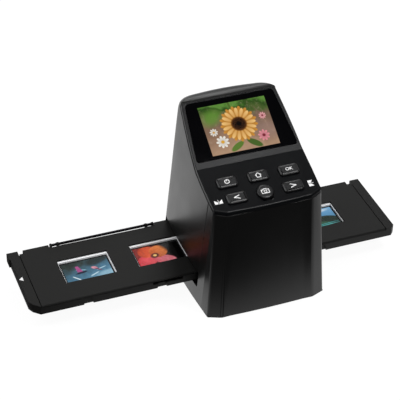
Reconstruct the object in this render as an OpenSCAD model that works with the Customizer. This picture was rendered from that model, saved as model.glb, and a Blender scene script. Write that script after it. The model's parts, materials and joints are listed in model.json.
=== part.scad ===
// Desk-top scanner for 35 mm slides, with a film holder that slides through the housing.
// +X runs along the holder, +Y to the back and +Z up. The origin is on the floor, at the centre of
// the footprint that the housing and the holder take up together.

/* [Housing] */
// Width at the floor between the outer ends of the front corner chamfers
front_w = 86.2; // [84:0.2:92]
// Width at the floor where the rear corners begin
back_w = 90; // [84:0.2:94]
// How far each side bows out between front and rear corners
side_bow = 1.8; // [1:0.1:3]
// Depth at the floor
body_d = 99; // [94:0.1:106]
// How far the front bows out between its corners
front_bow = 0.8; // [0.2:0.1:2]
// Distance from the optical axis back to the rear edge at the floor
axis_back = 39.6; // [38:0.2:42]
// Lean of the sides from vertical at the front, in degrees
side_lean = 3.36; // [3:0.02:4.2]
// Further lean of the sides from vertical at the rear, in degrees
rear_lean = 1.66; // [0.5:0.02:2]
// Lean of the front from vertical, in degrees
front_lean = 3.45; // [2:0.05:5]
// Width of the front corner chamfers at the floor
chamfer_w = 9.2; // [7:0.1:11]
// Depth of the front corner chamfers
chamfer_d = 3.2; // [2.6:0.1:5]
// Radius of the rear corners
back_corner_r = 10; // [8:0.5:12]
// Height of the front ridge, where the keypad slope begins
ridge_h = 84.7; // [80:0.5:95]
// Length of the keypad slope
keypad_len = 38.1; // [37:0.1:42]
// Angle of the keypad slope from horizontal, in degrees
keypad_angle = 17.9; // [14:0.5:20]
// Length of the display slope
screen_len = 49.3; // [49:0.1:52]
// Angle of the display slope from horizontal, in degrees
screen_angle = 31.5; // [28:0.5:34]
// Radius of the rounded cap behind the display
cap_r = 8.8; // [7:0.2:11]
// Bow of the cap's rear between its corners
cap_bow = 1.4; // [0.4:0.1:2]
// How much wider the cap's rear corners are than the corners below them
cap_soft = 3; // [1:0.5:5]
// Wall thickness of the mouldings
wall = 2.2; // [1.8:0.1:2.6]
// Height that the rubber feet lift the housing
foot_h = 0.8; // [0.5:0.1:2]
// Clearance round covers that fit into the shell
cover_gap = 0.15; // [0.05:0.05:0.4]

/* [Face panel] */
// Thickness of the face panel
panel_t = 2.4; // [2:0.1:3]
// How far the panel's edge stands in from the shell
panel_step = 0.3; // [0:0.1:0.6]
// Length of the shell's ledge under the panel's upper end
panel_ledge = 2.4; // [2:0.1:2.6]
// Depth of the lip that locates the panel inside the shell
panel_lip_d = 2.2; // [1:0.1:3]
// Thickness of that lip
panel_lip_t = 1.3; // [1:0.1:1.6]

/* [Display] */
// Border of the glass beside the lit picture
picture_side = 7.52; // [7:0.02:10]
// Distance from the lit picture up to the brow
picture_top = 4.98; // [4.6:0.02:6]
// Distance from the bend up to the lit picture
picture_rise = 7.6; // [7:0.1:8.5]
// Margin of the panel beside the glass's lower corners
glass_side_low = 1.81; // [0.9:0.01:3]
// Margin of the panel beside the glass's upper corners
glass_side_high = 2.85; // [1.4:0.01:3.6]
// Distance from the glass up to the brow
glass_top = 0.8; // [0.6:0.05:1.6]
// Distance from the bend up to the glass
glass_rise = 4.75; // [4:0.05:5.2]
// Thickness of the glass
glass_t = 1.2; // [0.8:0.1:1.4]
// Radius of the glass's corners
glass_r = 2.4; // [1.5:0.1:4]
// Clearance round the glass
glass_gap = 0.12; // [0.05:0.01:0.3]
// Thickness of the display panel
lcd_t = 1.6; // [1.2:0.1:2.2]
// Border of the display panel beside the picture
lcd_border = 2.6; // [2:0.1:3]
// Border of the display panel above the picture
lcd_top_border = 1.4; // [1:0.1:1.4]
// Border of the display panel below the picture
lcd_low_border = 3.8; // [3:0.1:4]
// Thickness of the display's metal frame behind the panel
lcd_frame_t = 1.4; // [1:0.1:2.4]

/* [Keys] */
// Width of the rectangular keys
key_w = 14; // [12:0.2:14.6]
// Height of the rectangular keys along the slope
key_h = 8.4; // [7:0.1:9]
// Corner radius of the rectangular keys
key_r = 1.8; // [1:0.1:3]
// Diameter of the round scan key
scan_key_d = 11.6; // [10:0.1:12]
// How far the keys stand out of the panel
key_proud = 1.5; // [0.8:0.1:2.5]
// Gap between each key and its hole
key_gap = 0.35; // [0.2:0.05:0.6]
// Travel of a key
key_travel = 0.5; // [0.3:0.05:0.6]
// Bevel round the top of each key
key_bevel = 0.7; // [0.3:0.1:1]
// Distance from the ridge up to the lower row of keys
lower_row = 10; // [9:0.1:11]
// Distance from the ridge up to the upper row of keys
upper_row = 23.6; // [23:0.1:25]
// Spacing of the keys in the lower row
lower_pitch = 20.2; // [19:0.1:21]
// Spacing of the keys in the upper row
upper_pitch = 22.3; // [22:0.1:23]
// Width of the flange that keeps a key behind the panel
flange_rim = 1; // [0.8:0.1:1.2]
// Thickness of that flange
flange_t = 0.8; // [0.6:0.1:1.2]
// Diameter of a key's stem
stem_d = 3; // [2.4:0.1:3.4]
// Length of a key's stem under its flange
stem_len = 0.9; // [0.9:0.1:2]

/* [Key switches and boards] */
// Width of a switch's body
switch_w = 6; // [5:0.5:6.5]
// Height of a switch's body
switch_h = 3.4; // [3:0.1:5]
// Diameter of a switch's plunger
plunger_d = 3.4; // [2.6:0.1:3.8]
// How far a plunger stands out of its switch
plunger_proud = 1; // [0.8:0.1:2]
// Depth of the plunger's bore in its switch
plunger_bore_d = 2.2; // [2:0.1:2.6]
// Running clearance round a plunger
plunger_gap = 0.08; // [0.05:0.01:0.15]
// Thickness of the circuit boards
board_t = 1.6; // [1:0.1:2]
// Width of the keypad board
keypad_board_w = 62; // [58:1:64]
// Width of the main board
main_board_w = 57; // [54:1:60]
// Distance from the optical axis forward to the main board's front edge
main_board_front = 28; // [24:1:32]
// Height of the main board over the housing's lower edge
main_board_z = 64; // [60:1:67]

/* [Film holder] */
// Length of the holder
tray_len = 269.6; // [262:0.2:290]
// Width of the holder
tray_w = 62.4; // [61:0.2:64]
// Distance from the optical axis back to the holder's back edge
tray_back = 32.2; // [31.6:0.1:32.6]
// Height of the closed holder
tray_t = 7; // [6:0.2:8]
// Height of the holder's underside over the housing's lower edge
tray_z = 13.7; // [13:0.1:15]
// Where the middle of the holder's windows rests, along X from the optical axis
tray_rest = -25.5; // [-40:0.5:0]
// How far the holder's ends stand to the right of the middle of its windows
end_shift = 0.8; // [0:0.1:1.5]
// Thickness of the lid
lid_t = 1.2; // [0.8:0.1:1.6]
// Gap between the lid and the base's end grips
lid_gap = 0.45; // [0.2:0.05:1]
// Length of the grip at each end of the base
grip_len = 7; // [5:0.5:10]
// Width of a film window
window_w = 36; // [34:0.5:37]
// Height of a film window
window_h = 25; // [24:0.5:25.5]
// How far the windows stand back from the optical axis
window_back = 0.5; // [0:0.1:0.7]
// Gap between the two slides in each half of the holder
slide_space = 2.4; // [1.6:0.1:4]
// Gap between the two slides beside the middle web
middle_space = 17.4; // [14:0.2:20]
// Floor thickness under the slide pockets
pocket_floor = 1.6; // [1.2:0.1:1.8]
// Clearance round a slide mount in its pocket
pocket_gap = 0.15; // [0.1:0.05:0.4]
// Rim left round the hollows in the base's underside
base_rim = 2; // [1.6:0.1:2.4]
// Chamfer along the lid's and the base's long edges
edge_chamfer = 0.8; // [0.4:0.1:1]
// Chamfer at the base's front right corner
corner_chamfer = 2.8; // [2:0.1:6]
// Width of the cut at the base's front left corner
corner_cut_w = 6.5; // [4:0.1:6.8]
// Depth of that cut
corner_cut_d = 8.2; // [5:0.1:12]
// Width of the notch beside each grip, in the back edge
end_notch_w = 3.6; // [3:0.1:5]
// Depth of that notch
end_notch_d = 3.6; // [2:0.1:4]
// Length of the key nib on the left end
nib_len = 7.4; // [5:0.2:18]
// How far the key nib stands out
nib_d = 1; // [0.6:0.1:1.6]
// Length of a finger notch under the lid's front edge
finger_w = 21.6; // [16:0.2:24]
// Distance from the holder's middle to a finger notch's centre
finger_x = 37.4; // [34:0.2:40]
// Height of a finger notch
finger_h = 2.2; // [1.6:0.1:2.4]
// Depth of a finger notch
finger_d = 2.6; // [2:0.1:3]
// Width of a click notch
click_w = 6.6; // [5:0.2:8]
// Depth of a click notch
click_d = 1.1; // [0.8:0.1:1.4]
// Distance from a window's centre to its click notch
click_offset = -7.9; // [-9:0.1:-7]

/* [Holder hinge] */
// Diameter of the hinge pins
pin_d = 2; // [1.4:0.1:2]
// Length of each hinge pin
pin_len = 76.8; // [68:0.4:80]
// Height of the hinge pins' centre over the lid
pin_rise = 0; // [0:0.1:1]
// Radius of the knuckles round the pins
knuckle_r = 1.4; // [1.4:0.1:1.8]
// Width of the base's lugs that hold the pins' ends
lug_w = 1.4; // [1.2:0.1:2]
// Open gap beside each lug
lug_gap = 0.7; // [0.4:0.1:1]
// Width of the lid's knuckles
knuckle_w = 1.8; // [1.4:0.1:2.6]
// Distance between a lug and the lid's knuckle beside it
knuckle_offset = 3.4; // [1:0.1:5]
// Width of the open slit between lid and pin
slit_w = 1; // [0.9:0.1:1.5]
// Distance from the holder's middle to the centre of a hinge pin
hinge_x = 65.7; // [64:0.1:68]
// Running clearance of the lid's knuckles on the pins
pin_gap = 0.06; // [0.02:0.01:0.1]
// How far the lid's back edge stands in from the base's
lid_back_gap = 0.1; // [0.1:0.1:1.2]

/* [Slides] */
// Side of a square slide mount
mount_w = 50; // [49:0.5:50.5]
// Thickness of a slide mount
mount_t = 2.6; // [2:0.1:3]
// Width of a mount's opening
mount_open_w = 35; // [33:0.5:35.5]
// Height of a mount's opening
mount_open_h = 23; // [22:0.5:23.5]
// Thickness of the film
film_t = 0.2; // [0.15:0.05:0.3]
// Width of film held inside the mount beyond its opening
film_grip = 1.2; // [0.8:0.1:2]
// Depth of the film under the mount's face
film_depth = 1.6; // [1:0.1:1.7]

/* [Slots and channel] */
// Clearance of each side slot in front of the holder
slot_front = 6.2; // [4:0.2:7]
// Clearance of each side slot behind the holder
slot_back = 1.6; // [1:0.1:1.8]
// Clearance of each side slot under the holder
slot_below = 1.6; // [0.8:0.1:2]
// Clearance of each side slot over the holder
slot_above = 3.8; // [3.4:0.1:5]
// Corner radius of the side slots
slot_r = 1.5; // [0.5:0.1:2]
// Side clearance of the holder in its channel
channel_gap = 0.3; // [0.15:0.05:0.5]
// Clearance under and over the holder in its channel
channel_lift = 0.3; // [0.15:0.05:0.5]
// Half the length of the channel
channel_half = 28; // [27:0.5:29]
// Thickness of the channel's side rails
rail_t = 2.2; // [1.8:0.1:2.4]
// Room over the holder for its raised hinge
hinge_room = 3.9; // [3.5:0.1:5]

/* [Lamp and optics] */
// Width of the lamp window
lamp_w = 38; // [36:0.5:40]
// Height of the lamp window
lamp_h = 26; // [24:0.5:28]
// Thickness of the diffuser
diffuser_t = 2; // [1.5:0.1:2.4]
// Border of the diffuser round the lamp window
diffuser_border = 3; // [2:0.5:4]
// Thickness of the light box's roof
roof_t = 3.2; // [3:0.1:4]
// Height of the lamp board over the bottom cover
lamp_board_lift = 2.4; // [2:0.1:3]
// Inner width of the optics tunnel
tunnel_w = 40; // [38:0.5:42]
// Inner depth of the optics tunnel
tunnel_d = 28; // [26:0.5:30]
// Height of the tunnel's top plate over the housing's lower edge
tunnel_top = 52; // [48:0.5:53]
// Diameter of the lens barrel
barrel_d = 14; // [12:0.5:16]
// Length of the lens barrel
barrel_len = 11; // [9:0.5:12]
// Width of the sensor board
sensor_board_w = 30; // [28:0.5:32]
// Height of the sensor board over the tunnel's top plate
sensor_lift = 4; // [3.6:0.2:5]

/* [Rear cover] */
// Width of the rear cover
rear_w = 48; // [46:0.5:49]
// Height of the rear cover's lower edge over the housing's lower edge
rear_z0 = 32; // [30:0.5:36]
// Height of the rear cover
rear_h = 66; // [60:0.5:68]
// Corner radius of the rear cover
rear_r = 4; // [2:0.5:6]
// Width of the overlap behind the shell's wall
rear_lap = 2; // [1.5:0.1:2.2]
// Thickness of that overlap
rear_lap_t = 1.2; // [1:0.1:1.5]
// Width of the memory card slot
card_w = 24.6; // [24.2:0.1:25.2]

/* [Fasteners and feet] */
// Thread diameter of the case screws
screw_d = 2.6; // [2:0.1:3]
// Head diameter of the case screws
screw_head_d = 4.8; // [4:0.1:5.5]
// Outer radius of the case screws' bosses
boss_r = 3.2; // [3:0.1:3.4]
// Thread diameter of the small screws that hold boards, display and optics
small_screw_d = 2; // [1.8:0.1:2.2]
// Head diameter of the small screws
small_head_d = 3.8; // [3.4:0.1:4]
// Outer radius of the small screws' bosses
small_boss_r = 2.2; // [2:0.1:2.4]
// Diameter of a rubber foot
foot_d = 9; // [8:0.5:9.5]
// Depth of a foot's seat in the bottom cover
foot_seat = 0.6; // [0.4:0.1:0.8]

/* [Hidden] */

far = 30;
sliver = 0.01;
touch = 0.001;
fuse = 0.3;

// Planes of the housing, with heights counted from its lower edge
back_y = axis_back;
front_y = back_y - body_d + front_bow;
ridge = [front_y + ridge_h * tan(front_lean), ridge_h];
keypad_dir = [cos(keypad_angle), sin(keypad_angle)];
keypad_out = [-sin(keypad_angle), cos(keypad_angle)];
screen_dir = [cos(screen_angle), sin(screen_angle)];
screen_out = [-sin(screen_angle), cos(screen_angle)];
bend = ridge + keypad_len * keypad_dir;
brow = bend + screen_len * screen_dir;
cap_centre = brow - cap_r * screen_out;
cap_back = cap_centre[0] + cap_r;
back_slope = (back_y - cap_back) / cap_centre[1];
back_lean = atan(back_slope);
body_top = cap_centre[1] + cap_r;

// Outline of the housing at a height
side_y0 = front_y + chamfer_d;
side_y1 = back_y - back_corner_r;
side_mid = (side_y0 + side_y1) / 2;
side_half = (side_y1 - side_y0) / 2;
side_flare = tan(side_lean + rear_lean) - tan(side_lean);
chamfer_taper = 0.021;
crown_z = rear_z0 + rear_h + rear_lap + 1;
front_steps = 5;
side_steps = 8;
corner_steps = 7;
crown_steps = 4;
cap_steps = 7;
brow_steps = 3;

function side_x(y, z) =
    let (t = (y - side_mid) / side_half)
    front_w / 2 + (back_w - front_w) / 4 * (1 + t) + side_bow * (1 - t * t)
        - z * (tan(side_lean) + side_flare * (1 + t) / 2);
function side_turn(z) = atan((2 * side_bow + (front_w - back_w) / 4 + z * side_flare / 2) / side_half);
function front_at(z) = front_y + z * tan(front_lean);

// Rear of the outline at a height: up the back wall and then over the cap
function back_at(z, inset = 0) = z <= cap_centre[1]
    ? back_y - z * back_slope - inset
    : cap_centre[0] + sqrt(pow(cap_r - inset, 2) - pow(z - cap_centre[1], 2));
function crown(z) = max(0, min(1, (z - crown_z) / (cap_centre[1] - crown_z)));

function half_outline(z, inset) =
    let (
        y0 = front_at(z) + inset,
        x0 = side_x(side_y0, z) - inset - chamfer_w + z * chamfer_taper,
        ry = back_corner_r - inset,
        rx = ry + cap_soft * crown(z),
        y1 = back_at(z, inset) - ry,
        turn = atan(tan(side_turn(z)) * ry / rx),
        y2 = y1 + ry * sin(turn),
        cx = side_x(y2, z) - inset - rx * cos(turn)
    )
    concat(
        [for (i = [0:front_steps]) let (t = i / front_steps) [x0 * t, y0 - front_bow * (1 - t * t)]],
        [for (i = [0:side_steps]) let (y = y0 + chamfer_d + (y2 - y0 - chamfer_d) * i / side_steps)
            [side_x(y, z) - inset, y]],
        [for (i = [1:corner_steps]) let (a = turn + (90 - turn) * i / corner_steps)
            [cx + rx * cos(a), y1 + ry * sin(a)]],
        [for (i = [1:crown_steps]) let (t = 1 - i / crown_steps)
            [cx * t, y1 + ry + cap_bow * crown(z) * (1 - t * t)]]
    );
function outline(z, inset) =
    let (right = half_outline(z, inset), n = len(right))
    concat(right, [for (i = [n - 2:-1:1]) [-right[i][0], right[i][1]]]);

// Heights of the slices that make up the block; above the crown they follow the cap
function levels(inset, z0, z1) = z1 <= crown_z
    ? [z0, z1 - sliver]
    : concat([z0, crown_z], [for (i = [0:cap_steps])
        cap_centre[1] - sliver + (cap_r - inset) * sin(90 * i / cap_steps)]);

// Points at a depth under the keypad and display slopes
bend_miter = (keypad_out + screen_out) / (1 + keypad_out * screen_out);
function under_ridge(d) = ridge - far * keypad_dir - d * keypad_out;
function under_bend(d) = bend - d * bend_miter;
function under_screen(s, d) = bend + s * screen_dir - d * screen_out;
brow_arc = [for (i = [0:brow_steps]) let (a = 90 + screen_angle * (1 - i / brow_steps))
    cap_centre + cap_r * [cos(a), sin(a)]];

// Film holder, with heights counted from its underside
tray_front = tray_back - tray_w;
lid_z = tray_t - lid_t;
left_end = end_shift - tray_len / 2;
right_end = end_shift + tray_len / 2;
lid_x0 = left_end + grip_len + lid_gap;
lid_x1 = right_end - grip_len - lid_gap;
base_window_w = window_w + 2;
base_window_h = window_h + 1;
pocket_z = lid_z - mount_t;
pocket_half = mount_w / 2 + pocket_gap;
window_pitch = mount_w + slide_space;
middle_pitch = mount_w + middle_space;
window_x = [for (s = [-1, 1]) for (k = [0, 1]) s * (middle_pitch / 2 + (s < 0 ? 1 - k : k) * window_pitch)];
pin_y = tray_back - knuckle_r;
pin_z = tray_t + pin_rise;
slit_front = pin_y - pin_d / 2 - slit_w;
pin_half = pin_len / 2;
lug_x = pin_half - lug_w / 2;
lid_knuckle_x = pin_half - lug_w - knuckle_offset - knuckle_w / 2;
lid_back = tray_back - lid_back_gap;
lug_notch = 1.8;

// Channel for the holder, with heights counted from the housing's lower edge
channel_floor = tray_z - channel_lift;
channel_y0 = tray_front - channel_gap;
channel_y1 = tray_back + channel_gap;
channel_roof = tray_z + tray_t + hinge_room;
slot_y0 = tray_front - slot_front;
slot_y1 = tray_back + slot_back;
slot_z0 = tray_z - slot_below;
slot_z1 = tray_z + tray_t + slot_above;
bottom_t = wall;
lamp_board_z = bottom_t + lamp_board_lift;
flange_z = channel_roof;
flange_top = flange_z + wall;
plate_t = 2.5;
sensor_z = tunnel_top + plate_t + sensor_lift;

// Keys, with heights counted from the face of the panel
key_rest_gap = 0.05;
flange_top_n = -panel_t - key_rest_gap;
stem_end_n = flange_top_n - flange_t - stem_len;
switch_top_n = stem_end_n - plunger_proud;
board_top_n = switch_top_n - switch_h;
key_sites = [
    [-upper_pitch, upper_row], [0, upper_row], [upper_pitch, upper_row],
    [-lower_pitch, lower_row], [0, lower_row], [lower_pitch, lower_row]
];
scan_index = 4;
keypad_boss_x = upper_pitch / 2;
keypad_boss_r = (upper_pitch - key_w) / 2 - flange_rim - 0.3;
keypad_pin_x = (lower_pitch + (scan_key_d - key_w) / 2) / 2;
keypad_pin_r = 0.9;
keypad_board_y0 = 3.6;
keypad_board_y1 = 30.4;

// Display, with heights counted from the face of the panel
picture_h = screen_len - picture_rise - picture_top;
glass_len = screen_len - glass_rise - glass_top;
function screen_half(s) = side_x(bend[0] + s * screen_dir[0], bend[1] + s * screen_dir[1]);
glass_w_low = 2 * (screen_half(glass_rise) - glass_side_low);
glass_w_high = 2 * (screen_half(screen_len - glass_top) - glass_side_high);
picture_w = glass_w_high - 2 * picture_side;
lcd_w = picture_w + 2 * lcd_border;
lcd_h = picture_h + lcd_top_border + lcd_low_border;
lcd_y = picture_rise + (picture_h + lcd_top_border - lcd_low_border) / 2;
picture_y = picture_rise + picture_h / 2;
frame_wall = 0.4;
lcd_boss_x = lcd_w / 2 + frame_wall + small_boss_r + 0.2;
lcd_boss_y = lcd_h / 2 - 13;
lcd_seat = 0.02;
lcd_back_n = -panel_t - lcd_seat - lcd_t;

// Fasteners
pilot_r = screw_d / 2 - 0.2;
screw_clear_r = screw_d / 2 + 0.2;
small_pilot_r = small_screw_d / 2 - 0.15;
small_clear_r = small_screw_d / 2 + 0.15;
post_y0 = front_y + wall + 5;
post_y1 = back_y - back_corner_r - 1.9;
post_x = (front_w + back_w) / 4 - wall - 6.4;
case_posts = [[-post_x + 4.4, post_y0], [post_x - 4.4, post_y0], [-post_x, post_y1], [post_x, post_y1]];
box_x = channel_half - 4;
box_post_in = 3.9;
box_posts = [for (y = [channel_y0 + box_post_in, channel_y1 - box_post_in]) for (s = [-1, 1]) [s * box_x, y]];
board_x = main_board_w / 2 - 3.9;
board_y0 = 5 - main_board_front;
board_y1 = back_at(main_board_z) - wall - rear_lap_t - 7.5;
board_posts = [[-board_x, board_y0], [board_x, board_y0], [-board_x, board_y1], [board_x, board_y1]];
sensor_x = sensor_board_w / 2 - 3.4;
sensor_posts = [[-sensor_x, -sensor_x], [sensor_x, -sensor_x], [-sensor_x, sensor_x], [sensor_x, sensor_x]];
foot_x = (front_w + back_w) / 4 - wall - 5.6;
foot_y0 = (post_y0 + channel_y0 + 3.9) / 2 + 3;
foot_y1 = post_y1 - 13.5;
feet = [[-foot_x, foot_y0], [foot_x, foot_y0], [-foot_x + 0.4, foot_y1], [foot_x - 0.4, foot_y1]];
ear_x = 20;
ear_y = channel_y0 - rail_t - 3;
case_post_top = 10.6;

origin_x = tray_rest + end_shift - nib_d / 2;
origin_y = (back_y - body_d + max(back_y, cap_back + cap_bow)) / 2;

black = [0.06, 0.06, 0.065];
charcoal = [0.16, 0.16, 0.155];
key_black = [0.09, 0.09, 0.1];
board_green = [0.08, 0.3, 0.16];
steel = [0.72, 0.73, 0.75];
white = [0.9, 0.9, 0.88];

// ---- Frames ----

// Housing coordinates, with the optical axis at x = 0, y = 0 and the lower edge at z = 0
module in_housing() translate([-origin_x, -origin_y, foot_h]) children();

// Coordinates on the keypad slope: x across, y up the slope from the ridge, z out of the face
module on_keypad() in_housing() translate([0, ridge[0], ridge[1]]) rotate([keypad_angle, 0, 0]) children();

// Coordinates on the display slope: x across, y up the slope from the bend, z out of the face
module on_screen() in_housing() translate([0, bend[0], bend[1]]) rotate([screen_angle, 0, 0]) children();

// Coordinates on the back wall: x to the left, y up the wall from the lower edge, z out of the wall
module on_back() in_housing() translate([0, back_y, 0]) rotate([90 - back_lean, 0, 180]) children();

// Coordinates of the film holder: x from its middle, y from the optical axis, z from its underside
module in_holder() in_housing() translate([tray_rest, 0, tray_z]) children();

// ---- Shared shapes ----

function rounded(w, h, r) =
    [for (c = [[1, 1, 0], [-1, 1, 90], [-1, -1, 180], [1, -1, 270]]) for (i = [0:5])
        let (a = c[2] + i * 18) [c[0] * (w / 2 - r) + r * cos(a), c[1] * (h / 2 - r) + r * sin(a)]];

module slab(w, d, h) translate([-w / 2, -d / 2, 0]) cube([w, d, h]);

module slice(z, inset) translate([0, 0, z]) linear_extrude(sliver) polygon(outline(z, inset));

// The housing's block between two heights, with its walls moved in by inset
module block(inset, z0, z1) hull() for (z = levels(inset, z0, z1)) slice(z, inset);

// A side profile in y and z, carried across the width of the housing
module across(points) rotate([90, 0, 90])
    linear_extrude(front_w + 2 * far, center = true) polygon(points);

module at_each(sites) for (p = sites) translate([p[0], p[1], 0]) children();

// A small pan-head screw with its head's underside at z = 0 and its thread running down
module screw(length) {
    cylinder(h = 1.3, r1 = small_head_d / 2, r2 = small_head_d / 2 - 0.4, $fn = 32);
    translate([0, 0, -length]) cylinder(h = length + touch, r = small_pilot_r, $fn = 24);
}

// ---- Housing ----

module main_shell() color(black) in_housing() difference() {
    union() {
        difference() {
            intersection() {
                block(0, 0, body_top);
                across(concat(
                    [[front_y - far, 0], under_ridge(panel_t), under_bend(panel_t)],
                    [under_screen(screen_len, panel_t)],
                    brow_arc,
                    [[back_y + far, body_top], [back_y + far, 0]]
                ));
            }
            shell_cavity();
        }
        shell_posts();
    }
    side_slots();
    translate([0, back_y, 0]) rotate([90 - back_lean, 0, 180]) translate([0, rear_z0 + rear_h / 2, 0])
        linear_extrude(4 * wall, center = true) polygon(rounded(rear_w, rear_h, rear_r));
    at_each(case_posts) translate([0, 0, bottom_t - 1]) cylinder(h = 8, r = pilot_r, $fn = 24);
}

module shell_cavity() intersection() {
    block(wall, -wall, body_top);
    across([
        [front_y - far, -wall], [front_y - far, body_top + far],
        [under_screen(screen_len - panel_ledge, panel_t)[0], body_top + far],
        under_screen(screen_len - panel_ledge, panel_t),
        under_screen(screen_len - panel_ledge, panel_t + wall),
        [cap_centre[0], body_top - wall], [back_y + far, body_top - wall], [back_y + far, -wall]
    ]);
}

// Four bosses for the case screws, each with a rib to the wall beside it
module shell_posts() {
    for (p = case_posts) {
        rib = p[1] < 0 ? [1.6, p[1] - front_y - wall / 2] : [side_x(p[1], 0) - abs(p[0]) - wall / 2, 1.6];
        translate([p[0], p[1], bottom_t]) cylinder(h = case_post_top - bottom_t, r = boss_r, $fn = 32);
        if (p[1] < 0)
            translate([p[0] - rib[0] / 2, p[1] - rib[1], bottom_t])
                cube([rib[0], rib[1], case_post_top - bottom_t]);
        else
            translate([p[0] < 0 ? p[0] - rib[0] : p[0], p[1] - rib[1] / 2, bottom_t])
                cube([rib[0], rib[1], case_post_top - bottom_t]);
    }
}

module side_slots()
    translate([0, (slot_y0 + slot_y1) / 2, (slot_z0 + slot_z1) / 2]) rotate([90, 0, 90])
        linear_extrude(front_w + 2 * far, center = true)
            polygon(rounded(slot_y1 - slot_y0, slot_z1 - slot_z0, slot_r));

module face_panel() color(black) difference() {
    union() {
        in_housing() intersection() {
            block(panel_step, ridge_h - 3 * wall, body_top);
            across([
                under_ridge(0), bend, brow,
                under_screen(screen_len, panel_t), under_bend(panel_t), under_ridge(panel_t)
            ]);
        }
        in_housing() panel_lip();
        on_keypad() keypad_bosses();
        on_screen() lcd_bosses();
    }
    on_keypad() for (i = [0:5]) translate([key_sites[i][0], key_sites[i][1], -2 * panel_t])
        if (i == scan_index) cylinder(h = 3 * panel_t, r = scan_key_d / 2 + key_gap, $fn = 48);
        else linear_extrude(3 * panel_t)
            polygon(rounded(key_w + 2 * key_gap, key_h + 2 * key_gap, key_r + key_gap));
    on_screen() translate([0, 0, -glass_t]) linear_extrude(2 * glass_t) polygon(glass_outline(glass_gap));
    on_screen() translate([0, picture_y, -2 * panel_t]) slab(picture_w + 1.6, picture_h + 1.2, 3 * panel_t);
    on_keypad() keypad_pilots();
    on_screen() lcd_pilots();
}

// The lip that drops inside the shell's walls
module panel_lip() intersection() {
    difference() {
        block(wall + cover_gap, ridge_h - 4 * wall, body_top);
        block(wall + cover_gap + panel_lip_t, ridge_h - 5 * wall, body_top);
    }
    across([
        under_ridge(panel_t - fuse), under_bend(panel_t - fuse),
        under_screen(screen_len - panel_ledge - cover_gap, panel_t - fuse),
        under_screen(screen_len - panel_ledge - cover_gap, panel_t + panel_lip_d),
        under_bend(panel_t + panel_lip_d), under_ridge(panel_t + panel_lip_d)
    ]);
}

module keypad_boss_sites() for (s = [-1, 1]) translate([s * keypad_boss_x, upper_row, 0]) children();

module keypad_pin_sites() for (s = [-1, 1]) translate([s * keypad_pin_x, lower_row, 0]) children();

module lcd_boss_sites() for (s = [-1, 1]) for (t = [-1, 1])
    translate([s * lcd_boss_x, lcd_y + t * lcd_boss_y, 0]) children();

// Two screw bosses between the upper keys, and two locating pins between the lower ones
module keypad_bosses() {
    keypad_boss_sites() translate([0, 0, board_top_n])
        cylinder(h = -board_top_n - panel_t + fuse, r = keypad_boss_r, $fn = 32);
    keypad_pin_sites() {
        translate([0, 0, board_top_n])
            cylinder(h = -board_top_n - panel_t + fuse, r = keypad_pin_r + 0.6, $fn = 32);
        translate([0, 0, board_top_n - board_t]) cylinder(h = board_t + touch, r = keypad_pin_r, $fn = 24);
    }
}

module lcd_bosses() lcd_boss_sites() translate([0, 0, lcd_back_n - lcd_frame_t])
    cylinder(h = lcd_t + lcd_frame_t + lcd_seat + fuse, r = small_boss_r, $fn = 32);

module keypad_pilots() keypad_boss_sites() translate([0, 0, board_top_n - 1])
    cylinder(h = -board_top_n - panel_t + 1.4, r = small_pilot_r, $fn = 24);

module lcd_pilots() lcd_boss_sites() translate([0, 0, lcd_back_n - lcd_frame_t - 1])
    cylinder(h = lcd_t + lcd_frame_t + 1.6, r = small_pilot_r, $fn = 24);

module rear_cover() color(black) difference() {
    on_back() translate([0, rear_z0 + rear_h / 2, -wall - cover_gap]) {
        linear_extrude(wall + cover_gap)
            polygon(rounded(rear_w - 2 * cover_gap, rear_h - 2 * cover_gap, rear_r - cover_gap));
        translate([0, 0, -rear_lap_t]) linear_extrude(rear_lap_t) difference() {
            polygon(rounded(rear_w + 2 * rear_lap, rear_h + 2 * rear_lap, rear_r + rear_lap));
            polygon(rounded(rear_w - 2 * rear_lap, rear_h - 2 * rear_lap, rear_r - rear_lap));
        }
    }
    in_housing() port_holes();
}

// Openings for the card socket, the USB port and the video jack
module port_holes() {
    translate([card_x, port_mouth, main_board_z + board_t + card_h / 2]) slab_y(card_w + 0.8, card_h + 0.6);
    translate([usb_x, port_mouth, main_board_z + board_t + usb_h / 2]) slab_y(usb_w + 0.6, usb_h + 0.6);
    translate([jack_x, port_mouth, main_board_z + board_t + jack_h / 2]) rotate([90, 0, 0])
        cylinder(h = 6 * wall, r = jack_nose_r + 0.3, center = true, $fn = 32);
}

module slab_y(w, h) cube([w, 6 * wall, h], center = true);

module bottom_cover() color(black) in_housing() difference() {
    block(wall + cover_gap, 0, bottom_t);
    at_each(feet) translate([0, 0, -1]) cylinder(h = 1 + foot_seat, r = foot_d / 2 + 0.1, $fn = 48);
    at_each(concat(case_posts, box_posts)) {
        translate([0, 0, -1]) cylinder(h = bottom_t + 2, r = screw_clear_r, $fn = 24);
        translate([0, 0, -1]) cylinder(h = 1 + bottom_t - 0.8, r = screw_head_d / 2 + 0.2, $fn = 32);
    }
}

module rubber_feet() color([0.1, 0.1, 0.1]) in_housing()
    at_each(feet) translate([0, 0, -foot_h]) {
        cylinder(h = foot_h / 2 + touch, r1 = foot_d / 2 - 0.4, r2 = foot_d / 2, $fn = 48);
        translate([0, 0, foot_h / 2]) cylinder(h = foot_h / 2 + foot_seat, r = foot_d / 2, $fn = 48);
    }

module case_screws() color(steel) in_housing()
    at_each(concat(case_posts, box_posts)) translate([0, 0, bottom_t - 0.8]) rotate([180, 0, 0]) case_screw();

module case_screw() {
    cylinder(h = 1.2, r1 = screw_head_d / 2, r2 = screw_head_d / 2 - 0.5, $fn = 32);
    translate([0, 0, -6.2]) cylinder(h = 6.2 + touch, r = pilot_r, $fn = 24);
}

// ---- Display ----

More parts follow.
